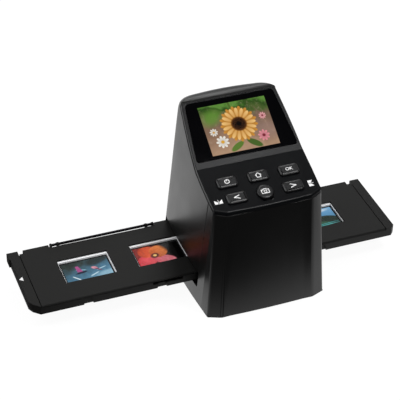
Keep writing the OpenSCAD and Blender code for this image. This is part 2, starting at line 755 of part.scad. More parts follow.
function glass_outline(grow) =
    let (
        low = glass_w_low / 2 + grow,
        high = glass_w_high / 2 + grow,
        y0 = glass_rise - grow,
        y1 = glass_rise + glass_len + grow,
        lean = atan((low - high) / (y1 - y0)),
        r = glass_r + grow,
        top_x = high - r * (1 - sin(lean)) / cos(lean),
        low_x = low - r * (1 + sin(lean)) / cos(lean),
        right = concat(
            [for (i = [0:5]) let (a = -90 + i * (90 + lean) / 5) [low_x + r * cos(a), y0 + r + r * sin(a)]],
            [for (i = [0:5]) let (a = lean + i * (90 - lean) / 5) [top_x + r * cos(a), y1 - r + r * sin(a)]]
        )
    )
    concat(right, [for (i = [len(right) - 1:-1:0]) [-right[i][0], right[i][1]]]);

module display_glass() color([0.02, 0.02, 0.025]) on_screen()
    translate([0, 0, -glass_t]) linear_extrude(glass_t) polygon(glass_outline(0));

module lcd_panel() color([0.35, 0.5, 0.3]) on_screen()
    translate([0, lcd_y, lcd_back_n]) slab(lcd_w, lcd_h, lcd_t);

// A metal tray behind the display panel, with two ears a side for its screws
module lcd_frame() color(steel) on_screen() translate([0, lcd_y, lcd_back_n - lcd_frame_t]) difference() {
    union() {
        slab(lcd_w + 2 * frame_wall, lcd_h, lcd_frame_t);
        for (s = [-1, 1]) translate([s * (lcd_w + frame_wall) / 2, 0, 0])
            slab(frame_wall - 2 * touch, lcd_h, lcd_frame_t + lcd_t);
        for (t = [-1, 1]) translate([0, t * lcd_boss_y, -0.8])
            slab(2 * (lcd_boss_x + small_boss_r), 2 * small_boss_r, 0.8 + touch);
    }
    for (s = [-1, 1]) for (t = [-1, 1]) translate([s * lcd_boss_x, t * lcd_boss_y, -2]) {
        cylinder(h = 3, r = small_clear_r, $fn = 24);
        translate([0, 0, 2]) cylinder(h = lcd_t + lcd_frame_t + 1, r = small_boss_r + 0.15, $fn = 32);
    }
    translate([0, 0, lcd_frame_t - 0.4]) slab(picture_w, picture_h, 1);
}

// A flat cable from the display's lower edge down to the main board
ribbon_w = 18;
ribbon_t = 0.3;
ribbon_start = under_screen(lcd_y - lcd_h / 2 + 1, lcd_frame_t - lcd_back_n + ribbon_t / 2 + touch);
ribbon_path = [
    ribbon_start,
    under_screen(lcd_y - lcd_h / 2 - 3, lcd_frame_t - lcd_back_n + ribbon_t / 2 + touch),
    [ribbon_start[0] - 4.4, ribbon_start[1] - 7],
    [ribbon_start[0] - 3.2, main_board_z + board_t + 8],
    [ribbon_start[0], main_board_z + board_t + 2.6],
    [ribbon_start[0] + 3, main_board_z + board_t + ribbon_t / 2],
    [ribbon_start[0] + 8, main_board_z + board_t + ribbon_t / 2]
];
function unit(v) = v / norm(v);
function turned(v) = [-v[1], v[0]];
function band(path, t) =
    let (
        n = len(path),
        normals = [for (i = [0:n - 1])
            turned(unit(path[min(i + 1, n - 1)] - path[max(i - 1, 0)]))]
    )
    concat(
        [for (i = [0:n - 1]) path[i] + normals[i] * t / 2],
        [for (i = [n - 1:-1:0]) path[i] - normals[i] * t / 2]
    );

module lcd_ribbon() color([0.75, 0.45, 0.15]) in_housing()
    rotate([90, 0, 90]) linear_extrude(ribbon_w, center = true) polygon(band(ribbon_path, ribbon_t));

// ---- Keys ----

module key_flange_stem() {
    translate([0, 0, stem_end_n]) cylinder(h = stem_len + touch, r = stem_d / 2, $fn = 24);
}

module bar_key(i) color(key_black) on_keypad() translate([key_sites[i][0], key_sites[i][1], 0]) {
    translate([0, 0, flange_top_n - touch]) hull() {
        linear_extrude(key_proud - key_bevel - flange_top_n + touch) polygon(rounded(key_w, key_h, key_r));
        linear_extrude(key_proud - flange_top_n + touch)
            polygon(rounded(key_w - 2 * key_bevel, key_h - 2 * key_bevel, key_r - key_bevel / 2));
    }
    translate([0, 0, flange_top_n - flange_t]) linear_extrude(flange_t)
        polygon(rounded(key_w + 2 * flange_rim, key_h + 2 * flange_rim, key_r + flange_rim));
    key_flange_stem();
}

module round_key(i) color(key_black) on_keypad() translate([key_sites[i][0], key_sites[i][1], 0]) {
    rotate_extrude($fn = 64) polygon([
        [0, flange_top_n - flange_t], [scan_key_d / 2 + flange_rim, flange_top_n - flange_t],
        [scan_key_d / 2 + flange_rim, flange_top_n], [scan_key_d / 2, flange_top_n],
        [scan_key_d / 2, key_proud - key_bevel], [scan_key_d / 2 - key_bevel, key_proud], [0, key_proud]
    ]);
    key_flange_stem();
}

// The round rod under a key, which slides in its switch
module plunger(i) color([0.2, 0.2, 0.2]) on_keypad() translate([key_sites[i][0], key_sites[i][1], 0])
    translate([0, 0, switch_top_n - plunger_bore_d + key_travel + 0.4])
        cylinder(h = plunger_proud + plunger_bore_d - key_travel - 0.4, r = plunger_d / 2, $fn = 32);

module power_key() bar_key(0);
module home_key() bar_key(1);
module ok_key() bar_key(2);
module left_key() bar_key(3);
module scan_key() round_key(scan_index);
module right_key() bar_key(5);
module power_plunger() plunger(0);
module home_plunger() plunger(1);
module ok_plunger() plunger(2);
module left_plunger() plunger(3);
module scan_plunger() plunger(scan_index);
module right_plunger() plunger(5);

module key_switches() color([0.3, 0.3, 0.32]) on_keypad()
    for (p = key_sites) translate([p[0], p[1], board_top_n]) difference() {
        slab(switch_w, switch_w, switch_h);
        translate([0, 0, switch_h - plunger_bore_d])
            cylinder(h = plunger_bore_d + 1, r = plunger_d / 2 + plunger_gap, $fn = 32);
    }

module keypad_board() color(board_green) on_keypad() difference() {
    translate([-keypad_board_w / 2, keypad_board_y0, board_top_n - board_t])
        cube([keypad_board_w, keypad_board_y1 - keypad_board_y0, board_t]);
    translate([0, 0, board_top_n - 2 * board_t]) {
        keypad_boss_sites() cylinder(h = 3 * board_t, r = small_clear_r, $fn = 24);
        keypad_pin_sites() cylinder(h = 3 * board_t, r = keypad_pin_r + 0.1, $fn = 24);
    }
}

module panel_screws() color(steel) {
    on_keypad() keypad_boss_sites() translate([0, 0, board_top_n - board_t]) rotate([180, 0, 0]) screw(4.4);
    on_screen() lcd_boss_sites() translate([0, 0, lcd_back_n - lcd_frame_t - 0.8]) rotate([180, 0, 0])
        screw(3.4);
}

// ---- Main board ----

card_h = 3;
card_x = 9.4;
usb_w = 7.7;
usb_h = 4;
usb_x = -10.8;
jack_h = 5;
jack_x = -19;
jack_nose_r = 2.4;
port_recess = 0.5;
port_mouth = back_at(main_board_z) - port_recess;
board_back = back_at(main_board_z) - wall - rear_lap_t - 0.4;

module main_board() color(board_green) in_housing() difference() {
    translate([-main_board_w / 2, -main_board_front, main_board_z])
        cube([main_board_w, main_board_front + board_back, board_t]);
    at_each(board_posts) translate([0, 0, main_board_z - 1])
        cylinder(h = board_t + 2, r = small_clear_r, $fn = 24);
}

module board_screws() color(steel) in_housing() {
    at_each(board_posts) translate([0, 0, main_board_z + board_t]) screw(6);
    at_each(sensor_posts) translate([0, 0, sensor_z + board_t]) screw(5);
}

module board_chips() color([0.12, 0.12, 0.13]) in_housing() translate([0, 0, main_board_z + board_t]) {
    translate([-18, 6, 0]) slab(14, 14, 1.3);
    translate([-17, -16, 0]) slab(10, 8, 1.1);
    translate([12, -19, 0]) slab(6, 5, 1.6);
    translate([18, -19, 0]) slab(4, 4, 2);
    for (x = [-22, 22]) translate([x, -8, 0]) cylinder(h = 4.5, r = 2.5, $fn = 32);
}

module card_socket() color(steel) in_housing() translate([card_x, 0, main_board_z + board_t]) difference() {
    translate([-card_w / 2 - 0.8 + touch, port_mouth - 27, 0])
        cube([card_w + 0.2 - 2 * touch, 27 - wall, card_h]);
    translate([-card_w / 2, port_mouth - 25, 0.5]) cube([card_w - 0.8, 40, card_h - 0.9]);
}

module usb_port() color(steel) in_housing() translate([usb_x, 0, main_board_z + board_t]) {
    difference() {
        translate([-usb_w / 2, port_mouth - 9.2, 0]) cube([usb_w, 9.2, usb_h]);
        translate([-usb_w / 2 + 0.4, port_mouth - 8, 0.4]) cube([usb_w - 0.8, 20, usb_h - 0.8]);
    }
    translate([-2.4, port_mouth - 8.2, usb_h / 2 - 0.35]) cube([4.8, 6, 0.7]);
}

module video_jack() color([0.1, 0.1, 0.11]) in_housing()
    translate([jack_x, port_mouth, main_board_z + board_t + jack_h / 2]) rotate([90, 0, 0]) difference() {
        union() {
            translate([-3, -jack_h / 2, wall + 1.2]) cube([6, jack_h, 9]);
            cylinder(h = wall + 1.4, r = jack_nose_r, $fn = 32);
        }
        translate([0, 0, -1]) cylinder(h = 10, r = 1.3, $fn = 24);
    }

// ---- Lamp, channel and optics ----

module light_box() color(charcoal) in_housing() difference() {
    union() {
        difference() {
            translate([-channel_half, channel_y0 - rail_t, bottom_t])
                cube([2 * channel_half, channel_y1 - channel_y0 + 2 * rail_t, channel_roof - bottom_t]);
            translate([-channel_half - 1, channel_y0, channel_floor])
                cube([2 * channel_half + 2, channel_y1 - channel_y0, channel_roof]);
            translate([-channel_half + 2, channel_y0, bottom_t - 1])
                cube([2 * channel_half - 4, channel_y1 - channel_y0, channel_floor - roof_t - bottom_t + 1]);
        }
        at_each(box_posts) translate([0, 0, bottom_t])
            cylinder(h = channel_floor - roof_t - bottom_t + touch, r = boss_r - 0.4, $fn = 32);
        lamp_board_corners() translate([0, 0, lamp_board_z + board_t])
            cylinder(h = channel_floor - roof_t - lamp_board_z - board_t + touch, r = 1.6, $fn = 24);
        for (s = [-1, 1]) translate([s * ear_x, ear_y, bottom_t]) {
            cylinder(h = channel_roof - bottom_t, r = boss_r, $fn = 32);
            translate([-boss_r, 0, 0])
                cube([2 * boss_r, channel_y0 - ear_y - touch, channel_roof - bottom_t]);
        }
    }
    translate([0, 0, channel_floor - roof_t - 1]) slab(lamp_w, lamp_h, roof_t + 2);
    translate([0, 0, channel_floor - diffuser_t - 0.2])
        slab(lamp_w + 2 * diffuser_border + 0.3, lamp_h + 2 * diffuser_border + 0.3, diffuser_t + 2);
    at_each(box_posts) translate([0, 0, bottom_t - 1]) cylinder(h = 7.4, r = pilot_r, $fn = 24);
    for (s = [-1, 1]) translate([s * ear_x, ear_y, channel_roof - 9])
        cylinder(h = 10, r = small_pilot_r, $fn = 24);
    translate([click_x - 7, channel_y0 - rail_t - 1, channel_floor + touch]) cube([14, rail_t + 2, 5]);
    translate([spring_screw_x, channel_y0 - 0.3, channel_floor + 0.3 + spring_h / 2]) rotate([90, 0, 0])
        cylinder(h = rail_t + 1, r = spring_screw_r, $fn = 24);
}

module lamp_board_corners() for (s = [-1, 1]) for (t = [-1, 1])
    translate([s * (lamp_w / 2 + 0.5), t * (lamp_h / 2 + 0.5), 0]) children();

module diffuser() color(white) in_housing() translate([0, 0, channel_floor - diffuser_t - 0.2])
    slab(lamp_w + 2 * diffuser_border, lamp_h + 2 * diffuser_border, diffuser_t);

module lamp_board() color(white) in_housing() {
    translate([0, 0, lamp_board_z]) slab(lamp_w + 6, lamp_h + 6, board_t);
    lamp_board_corners() translate([0, 0, bottom_t]) cylinder(h = lamp_board_lift + touch, r = 1.6, $fn = 24);
}

module lamps() color([0.95, 0.9, 0.6]) in_housing()
    for (x = [-12, 0, 12]) for (y = [-8, 0, 8]) translate([x, y, lamp_board_z + board_t]) slab(3.5, 2.8, 0.8);

// A leaf spring whose bump catches the holder's click notches
click_x = click_offset;
spring_t = 0.4;
spring_h = 4;
spring_y = channel_y0 - rail_t - spring_t - 0.02;
spring_x0 = max(click_x - 9, boss_r + 0.5 - ear_x);
spring_screw_x = click_x + 18.5;
spring_screw_r = 0.8;
bump_tip = tray_front - 0.2;
module click_spring() color(steel) in_housing() translate([0, 0, channel_floor + 0.3]) difference() {
    linear_extrude(spring_h) polygon(band([
        [spring_x0, spring_y - 0.8], [click_x - 5, spring_y - 0.3], [click_x - 3, spring_y + 0.6],
        [click_x, bump_tip - spring_t / 2], [click_x + 3, spring_y + 0.6],
        [click_x + 5, spring_y + spring_t / 2], [click_x + 22, spring_y + spring_t / 2]
    ], spring_t));
    translate([spring_screw_x, spring_y, spring_h / 2]) rotate([90, 0, 0])
        cylinder(h = 4, r = spring_screw_r + 0.1, center = true, $fn = 24);
}

module spring_screw() color(steel) in_housing()
    translate([spring_screw_x, spring_y, channel_floor + 0.3 + spring_h / 2]) rotate([90, 0, 0]) {
        translate([0, 0, touch]) cylinder(h = 1, r1 = 1.7, r2 = 1.4, $fn = 24);
        translate([0, 0, -spring_t - rail_t + 0.4])
            cylinder(h = spring_t + rail_t - 0.4 + 2 * touch, r = spring_screw_r, $fn = 24);
    }

module optics_tower() color(charcoal) in_housing() difference() {
    union() {
        translate([-channel_half, channel_y0 - rail_t, flange_z])
            cube([2 * channel_half, channel_y1 - channel_y0 + 2 * rail_t, wall]);
        for (s = [-1, 1]) translate([s * ear_x, ear_y, flange_z]) {
            cylinder(h = wall, r = boss_r, $fn = 32);
            translate([-boss_r, 0, 0]) cube([2 * boss_r, channel_y0 - ear_y, wall]);
        }
        for (y = [channel_y0 + 4, slit_front - 4])
            translate([-channel_half, y, tray_z + tray_t + channel_lift])
                cube([2 * channel_half, 1.6, hinge_room - channel_lift + touch]);
        translate([0, 0, flange_top - touch])
            slab(tunnel_w + 4, tunnel_d + 4, tunnel_top + plate_t - flange_top + touch);
        translate([0, 0, tunnel_top]) slab(sensor_board_w, sensor_board_w, plate_t);
        at_each(board_posts) translate([0, 0, flange_top - touch])
            cylinder(h = main_board_z - flange_top + touch, r = small_boss_r + 0.4, $fn = 32);
        at_each(sensor_posts) translate([0, 0, tunnel_top + plate_t - touch])
            cylinder(h = sensor_lift + touch, r = small_boss_r, $fn = 24);
    }
    translate([0, 0, flange_z - 1]) slab(tunnel_w, tunnel_d, tunnel_top - flange_z + 1);
    translate([0, 0, tunnel_top - 1]) cylinder(h = plate_t + 2, r = barrel_d / 2 + 0.03, $fn = 64);
    at_each(board_posts) translate([0, 0, main_board_z - 7]) cylinder(h = 8, r = small_pilot_r, $fn = 24);
    at_each(sensor_posts) translate([0, 0, tunnel_top + plate_t - 2])
        cylinder(h = sensor_lift + 3, r = small_pilot_r, $fn = 24);
    for (s = [-1, 1]) translate([s * ear_x, ear_y, flange_z - 1])
        cylinder(h = wall + 2, r = small_clear_r, $fn = 24);
}

module optics_screws() color(steel) in_housing()
    for (s = [-1, 1]) translate([s * ear_x, ear_y, flange_top]) screw(8);

barrel_z0 = sensor_z - 2.6 - barrel_len;
lens_tint = [0.6, 0.75, 0.85, 0.5];
front_lens_r = 4.6;
module lens_barrel() color(black) in_housing() translate([0, 0, barrel_z0]) rotate_extrude($fn = 64) polygon([
    [4.6, 0], [barrel_d / 2 + 1, 0], [barrel_d / 2 + 1, 1.5 - touch], [barrel_d / 2, 1.5],
    [barrel_d / 2, barrel_len], [3, barrel_len], [3, barrel_len - 0.8], [4, barrel_len - 0.8],
    [4, barrel_len - 3], [3, barrel_len - 4],
    [3, 3.6], [5.2, 3], [5.2, 1], [4.6, 0.6]
]);

module front_lens() color(lens_tint) in_housing() translate([0, 0, barrel_z0 + 1])
    rotate_extrude($fn = 64) polygon(concat(
        [[0, 2], [5.2, 2], [5.2, 0.3]],
        [for (i = [0:6]) let (t = 1 - i / 6) [front_lens_r * t, 0.1 - 0.6 * (1 - t * t)]]
    ));

module rear_lens() color(lens_tint) in_housing() translate([0, 0, barrel_z0 + barrel_len - 3])
    rotate_extrude($fn = 64) polygon([[0, 0], [4, 0], [4, 2.2], [3, 2.2], [2, 2.6], [0, 2.8]]);

module sensor_board() color(board_green) in_housing() difference() {
    translate([0, 0, sensor_z]) slab(sensor_board_w, sensor_board_w, board_t);
    at_each(sensor_posts) translate([0, 0, sensor_z - 1])
        cylinder(h = board_t + 2, r = small_clear_r, $fn = 24);
}

module image_sensor() color([0.1, 0.1, 0.15]) in_housing()
    translate([0, 0, sensor_z - 1.4]) slab(8.4, 8.4, 1.4);

// ---- Film holder ----

module holder_base() color(charcoal) in_holder() difference() {
    union() {
        linear_extrude(lid_z) polygon(base_outline());
        linear_extrude(tray_t) polygon(left_grip_outline());
        linear_extrude(tray_t) polygon(right_grip_outline());
        for (c = [-hinge_x, hinge_x]) for (s = [-1, 1]) translate([c + s * lug_x, 0, 0]) base_lug();
    }
    for (x = window_x) translate([x, 0, pocket_z]) slab(2 * pocket_half, 2 * pocket_half, mount_t + 1);
    for (x = window_x) translate([x, 0, -1]) slab(base_window_w, base_window_h, tray_t);
    for (x = window_x) underside_hollow(x);
    end_notches() translate([0, 0, -1]) slab(end_notch_w, 2 * end_notch_d, tray_t + 2);
    for (s = [-1, 1]) translate([s * finger_x, tray_front, lid_z - finger_h])
        slab(finger_w, 2 * finger_d, finger_h + 1);
    for (x = window_x) translate([x + click_offset, tray_front, 0]) click_notch();
    for (x = hook_x) translate([x, hook_y, lid_z - hook_len - 0.3])
        slab(hook_w + 0.6, hook_t + 1.2, hook_len + 1);
    for (c = [-hinge_x, hinge_x]) translate([c, pin_y, pin_z]) rotate([0, 90, 0])
        cylinder(h = 2 * pin_half + 2, r = pin_d / 2, center = true, $fn = 32);
}

// The base's back edge at one hinge, from its right end to its left: lug notch, lug, slit, lug, lug notch
function hinge_edge(c) =
    let (right = [[pin_half + lug_gap, tray_back], [pin_half + lug_gap, tray_back - lug_notch],
                  [pin_half, tray_back - lug_notch], [pin_half, tray_back],
                  [pin_half - lug_w, tray_back], [pin_half - lug_w, slit_front]])
    concat([for (p = right) [c + p[0], p[1]]], [for (i = [5:-1:0]) [c - right[i][0], right[i][1]]]);

// Plan of the base, cut back along the pins so that the slits are open
function base_outline() =
    concat(
        right_corner,
        hinge_edge(hinge_x),
        hinge_edge(-hinge_x),
        left_corner
    );

// Ends of the base's plan: the right one's chamfer, and the left one's key nib and two-step cut
right_corner = [
    [right_end - corner_chamfer, tray_front], [right_end, tray_front + corner_chamfer], [right_end, tray_back]
];
cut_w = min(corner_cut_w, grip_len - 0.3);
left_corner = [
    [left_end - nib_d, tray_back], [left_end - nib_d, tray_back - nib_len], [left_end, tray_back - nib_len],
    [left_end, tray_front + corner_cut_d],
    [left_end + 0.3 * cut_w, tray_front + corner_cut_d / 2], [left_end + cut_w, tray_front]
];
function right_grip_outline() =
    let (x = right_end - grip_len) concat([[x, tray_front]], right_corner, [[x, tray_back]]);
function left_grip_outline() =
    let (x = left_end + grip_len) concat([[x, tray_front], [x, tray_back]], left_corner);

module end_notches() for (x = [left_end + grip_len + end_notch_w / 2, right_end - grip_len - end_notch_w / 2])
    translate([x, tray_back, 0]) children();

// A lug that rises from the base's back edge and holds one end of a pin
module base_lug() {
    translate([0, pin_y, pin_z]) rotate([0, 90, 0])
        cylinder(h = lug_w, r = knuckle_r, center = true, $fn = 32);
    translate([-lug_w / 2, pin_y - knuckle_r, lid_z - 1]) cube([lug_w, 2 * knuckle_r, pin_z - lid_z + 1]);
}

module underside_hollow(x) difference() {
    translate([x, 0, -1])
        slab(2 * pocket_half, 2 * pocket_half - 2 * base_rim, 1 + pocket_z - pocket_floor);
    translate([x, 0, -1]) slab(base_window_w + 2 * base_rim, base_window_h + 2 * base_rim, 3 + pocket_z);
    for (t = [-1, 1]) translate([x, t * (base_window_h / 2 + 6), -1])
        slab(2 * pocket_half + 1, 1.4, pocket_z + 3);
    for (t = [-1, 1]) translate([x + t * 9, 0, -1]) slab(1.4, 2 * pocket_half + 1, pocket_z + 3);
}

module click_notch() rotate([90, 0, 0]) linear_extrude(2 * click_d, center = true)
    polygon([[-click_w / 2, -1], [click_w / 2, -1], [click_w / 2, 0], [click_w / 2 - click_d, spring_h + 1.4],
             [-click_w / 2 + click_d, spring_h + 1.4], [-click_w / 2, 0]]);

hook_w = 6;
hook_t = 1.1;
hook_len = 3;
hook_y = tray_front + 3.1;
hook_x = [lid_x0 + 15.4, -14, 14, lid_x1 - 15.4];

module holder_lid() color(charcoal) in_holder() difference() {
    union() {
        translate([0, 0, lid_z]) linear_extrude(lid_t - edge_chamfer) polygon(lid_plan(tray_front));
        hull() {
            translate([0, 0, tray_t - edge_chamfer - sliver]) linear_extrude(sliver) polygon(lid_body(0));
            translate([0, 0, tray_t - sliver]) linear_extrude(sliver) polygon(lid_body(edge_chamfer));
        }
        translate([0, 0, tray_t - edge_chamfer - touch]) linear_extrude(edge_chamfer + touch)
            polygon(lid_plan(slit_front - 2));
        for (c = [-hinge_x, hinge_x]) for (s = [-1, 1])
            translate([c + s * lid_knuckle_x, 0, 0]) lid_knuckle();
        for (x = hook_x) translate([x, hook_y, lid_z - hook_len]) {
            slab(hook_w, hook_t, hook_len + touch);
            translate([-hook_w / 2, -hook_t / 2 - 0.3, 0]) cube([hook_w, 0.3 + touch, 0.8]);
        }
    }
    for (x = window_x) translate([x, window_back, lid_z - 1]) slab(window_w, window_h, lid_t + 2);
    for (c = [-hinge_x, hinge_x]) translate([c, pin_y, pin_z]) rotate([0, 90, 0])
        cylinder(h = 2 * pin_half, r = pin_d / 2 + pin_gap, center = true, $fn = 32);
    end_notches() translate([0, 0, lid_z - 1]) slab(end_notch_w, 2 * end_notch_d, lid_t + 2);
}

// The lid's plate in front of the hinge line
function lid_body(inset) = [
    [lid_x0, tray_front + inset], [lid_x1, tray_front + inset], [lid_x1, slit_front], [lid_x0, slit_front]
];

// The lid's plan behind a line, cut back at both hinges
function lid_plan(y0) =
    let (a = hinge_x - pin_half - lug_gap, b = hinge_x + pin_half + lug_gap, y1 = lid_back)
    [
        [lid_x0, y0], [lid_x1, y0], [lid_x1, y1], [b, y1], [b, slit_front], [a, slit_front],
        [a, y1], [-a, y1], [-a, slit_front], [-b, slit_front], [-b, y1], [lid_x0, y1]
    ];

module lid_knuckle() {
    translate([0, pin_y, pin_z]) rotate([0, 90, 0])
        cylinder(h = knuckle_w, r = knuckle_r, center = true, $fn = 32);
    translate([-knuckle_w / 2, slit_front - 1, lid_z + touch])
        cube([knuckle_w, pin_y - slit_front + 1, lid_t - touch]);
}

module hinge_pins() color(steel) in_holder()
    for (c = [-hinge_x, hinge_x]) translate([c, pin_y, pin_z]) rotate([0, 90, 0])
        cylinder(h = 2 * pin_half, r = pin_d / 2, center = true, $fn = 32);

// ---- Slides ----

film_w = mount_open_w + 2 * film_grip;
film_h = mount_open_h + 2 * film_grip;
film_z = lid_z - film_depth;

module slide_mount(x) color(white) in_holder() translate([x, 0, lid_z - mount_t]) difference() {
    linear_extrude(mount_t) polygon(rounded(mount_w, mount_w, 1.5));
    translate([0, 0, -1]) slab(mount_open_w, mount_open_h, mount_t + 2);
    translate([0, 0, mount_t - film_depth - film_t / 2]) slab(film_w, film_h, film_t);
}

module film(x) color([0.3, 0.35, 0.4]) in_holder()
    translate([x, 0, film_z - film_t / 2]) slab(film_w, film_h, film_t);

module slide_mount_1() slide_mount(window_x[0]);
module slide_mount_2() slide_mount(window_x[1]);
module slide_mount_3() slide_mount(window_x[2]);
module slide_mount_4() slide_mount(window_x[3]);
module film_1() film(window_x[0]);
module film_2() film(window_x[1]);
module film_3() film(window_x[2]);
module film_4() film(window_x[3]);

main_shell();
face_panel();
rear_cover();
bottom_cover();
rubber_feet();
case_screws();
display_glass();
lcd_panel();
lcd_frame();
lcd_ribbon();
keypad_board();
key_switches();
panel_screws();
power_key();
home_key();
ok_key();
left_key();
scan_key();
right_key();
power_plunger();
home_plunger();
ok_plunger();
left_plunger();
scan_plunger();
right_plunger();
main_board();
board_chips();
board_screws();
card_socket();
usb_port();
video_jack();
optics_tower();
optics_screws();
lens_barrel();
front_lens();
rear_lens();
sensor_board();
image_sensor();
light_box();
diffuser();
lamp_board();
lamps();
click_spring();
spring_screw();
holder_base();
holder_lid();
hinge_pins();
slide_mount_1();
slide_mount_2();
slide_mount_3();
slide_mount_4();
film_1();
film_2();
film_3();
film_4();
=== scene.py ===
"""Film negative scanner: finishes, printed marks, slides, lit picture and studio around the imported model."""

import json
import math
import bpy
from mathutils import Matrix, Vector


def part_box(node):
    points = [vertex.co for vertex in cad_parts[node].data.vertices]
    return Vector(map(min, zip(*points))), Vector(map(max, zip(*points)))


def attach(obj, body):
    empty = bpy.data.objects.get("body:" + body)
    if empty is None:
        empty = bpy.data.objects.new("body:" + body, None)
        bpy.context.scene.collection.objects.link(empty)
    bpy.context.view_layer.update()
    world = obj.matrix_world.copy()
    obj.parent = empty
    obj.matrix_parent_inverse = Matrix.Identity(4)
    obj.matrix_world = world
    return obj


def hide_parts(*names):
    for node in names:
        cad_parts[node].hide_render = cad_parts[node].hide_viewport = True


bl_info = {
    "name": "Film Negative Scanner",
    "version": (1, 0, 0),
    "blender": (4, 5, 0),
    "location": "3D View > Sidebar > Scanner",
    "description": "Dresses a desk-top slide scanner and sets it in a white studio",
    "category": "Object",
}

import bmesh
import bpy
from bpy.props import FloatProperty, FloatVectorProperty, IntProperty, PointerProperty
from mathutils import Matrix, Vector

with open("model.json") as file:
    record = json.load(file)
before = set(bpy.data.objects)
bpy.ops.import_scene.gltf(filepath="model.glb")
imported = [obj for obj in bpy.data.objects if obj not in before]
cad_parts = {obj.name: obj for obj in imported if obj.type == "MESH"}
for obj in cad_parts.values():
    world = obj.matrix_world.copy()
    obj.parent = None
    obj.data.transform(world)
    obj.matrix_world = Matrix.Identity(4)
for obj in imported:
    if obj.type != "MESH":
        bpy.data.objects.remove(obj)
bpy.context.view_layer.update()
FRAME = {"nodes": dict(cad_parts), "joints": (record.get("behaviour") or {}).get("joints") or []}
NODES = FRAME["nodes"]
MM = 0.001
ACROSS = Vector((1, 0, 0))
KEYS = ("power", "home", "ok", "left", "scan", "right")

# ---- Fixed measures ----

MERGE_GAP = 0.002 * MM  # points nearer than this are one
FLAT_ANGLE = 0.6  # degrees, up to which two faces are one flat face
FRONT_DEPTH = 20 * MM  # the shell's front edges lie within this of its front
CORNER_LENGTH = 10 * MM  # the corner chamfers' edges are longer than this
SEAM_DEPTH = 10 * MM  # the panel's edges within this of its front stay crisp
RIDGE_DEPTH = 6 * MM  # the edge below the keypad lies within this of the panel's front
BEND_LENGTH = 30 * MM  # the bend between keypad and display is longer than this
BEND_ANGLES = (10, 17)  # degrees between which it turns
RIM_DEPTH = 0.05 * MM  # a key's rim lies within this of its top
END_WIDTH = 4 * MM  # width of the holder's raised end
ARROW_PLACE = (1.25 * MM, 31.95 * MM)  # the arrow's tip, from the holder's left front corner
LEAST_EDGE = 0.5 * MM  # a slide mount's shorter edges stay crisp
FILM_BORDER = 2.2  # dark border of a film, in millimetres
FACE_DEPTH = 0.05  # the picture shows only this far into the glass, in millimetres
LETTER_WEIGHT = 0.02  # how much bolder the letters are, as a share of their size
TONE_PATCH = 22 * MM  # size of the slow changes of tone in moulded plastic
TRACKS = 420.0  # cells per metre between the copper tracks of a board
FLOOR_REACH = 6.0  # half the side of the floor
FADE_WAY = (0.3, 1.0, 0.0)  # the mirrored floor darkens against this way
CEILING = (0.15, 0.7)  # where the mirrored ceiling starts, and over how much of the sky it fades in
BACKDROP_FADE = (0.0, 1.5, 0.0)  # how fast the mirrored backdrop fades in behind the scanner

# Name, place, target, side of the square in metres, and watts
LAMPS = (
    ("key_light", (-0.65, 0.15, 0.95), (0.0, 0.0, 0.05), 0.7, 4.0),
    ("top_light", (0.31, -0.34, 1.02), (0.03, 0.0, 0.08), 0.2, 4.3),
    ("back_light", (0.33, 0.69, 0.935), (0.03, 0.0, 0.1), 0.3, 2.6),
)

# Outlines of the printed marks, in millimetres round their own middle
HOUSE = ((-1.6, -1.9), (1.6, -1.9), (1.6, 0.1), (2.4, 0.1), (0, 2.3), (-2.4, 0.1), (-1.6, 0.1))
CAMERA = (
    (-2.9, -1.9), (2.9, -1.9), (2.9, 1.5), (1.5, 1.5), (1.0, 2.2), (-1.0, 2.2), (-1.5, 1.5), (-2.9, 1.5)
)
MIRROR_SHAPES = (
    ((-2.8, -1.6), (-0.5, -1.6), (-0.5, -0.1), (-2.8, 1.6)),
    ((2.8, 1.6), (0.5, -0.1), (0.5, -1.6), (2.8, -1.6)),
    ((-0.15, -1.8), (0.15, -1.8), (0.15, 1.8), (-0.15, 1.8)),
)
FLIP_SHAPES = (
    ((-1.8, 2.4), (-1.8, 0.45), (0.2, 0.45), (1.8, 2.4)),
    ((-1.8, -0.45), (-1.8, -2.4), (1.8, -2.4), (0.2, -0.45)),
    ((-2.0, -0.15), (2.0, -0.15), (2.0, 0.15), (-2.0, 0.15)),
)
# Name, the key beside it, how far it lies from that key's middle, and its shapes
SIGNS = (
    ("mirror_sign", "left_key", (-12.8 * MM, 0, 0), MIRROR_SHAPES),
    ("flip_sign", "right_key", (12.8 * MM, -0.3 * MM, 0), FLIP_SHAPES),
)


def linear(code):
    """A colour written as six hexadecimal digits, turned into scene values."""
    parts = [int(code[i:i + 2], 16) / 255 for i in (0, 2, 4)]
    return tuple(c / 12.92 if c <= 0.04045 else ((c + 0.055) / 1.055) ** 2.4 for c in parts)


# ---- Sizes and colours that a user would change ----


def colour_property(label, description, code):
    return FloatVectorProperty(
        name=label, description=description, default=linear(code), subtype="COLOR", size=3, min=0, max=1
    )


def length_property(label, description, value):
    return FloatProperty(
        name=label, description=description, default=value, unit="LENGTH", min=0, precision=5
    )


def level_property(label, description, value, most=2, least=0):
    return FloatProperty(
        name=label, description=description, default=value, subtype="FACTOR", min=least, max=most
    )


def angle_property(label, description, value):
    return FloatProperty(name=label, description=description, default=value, subtype="ANGLE")


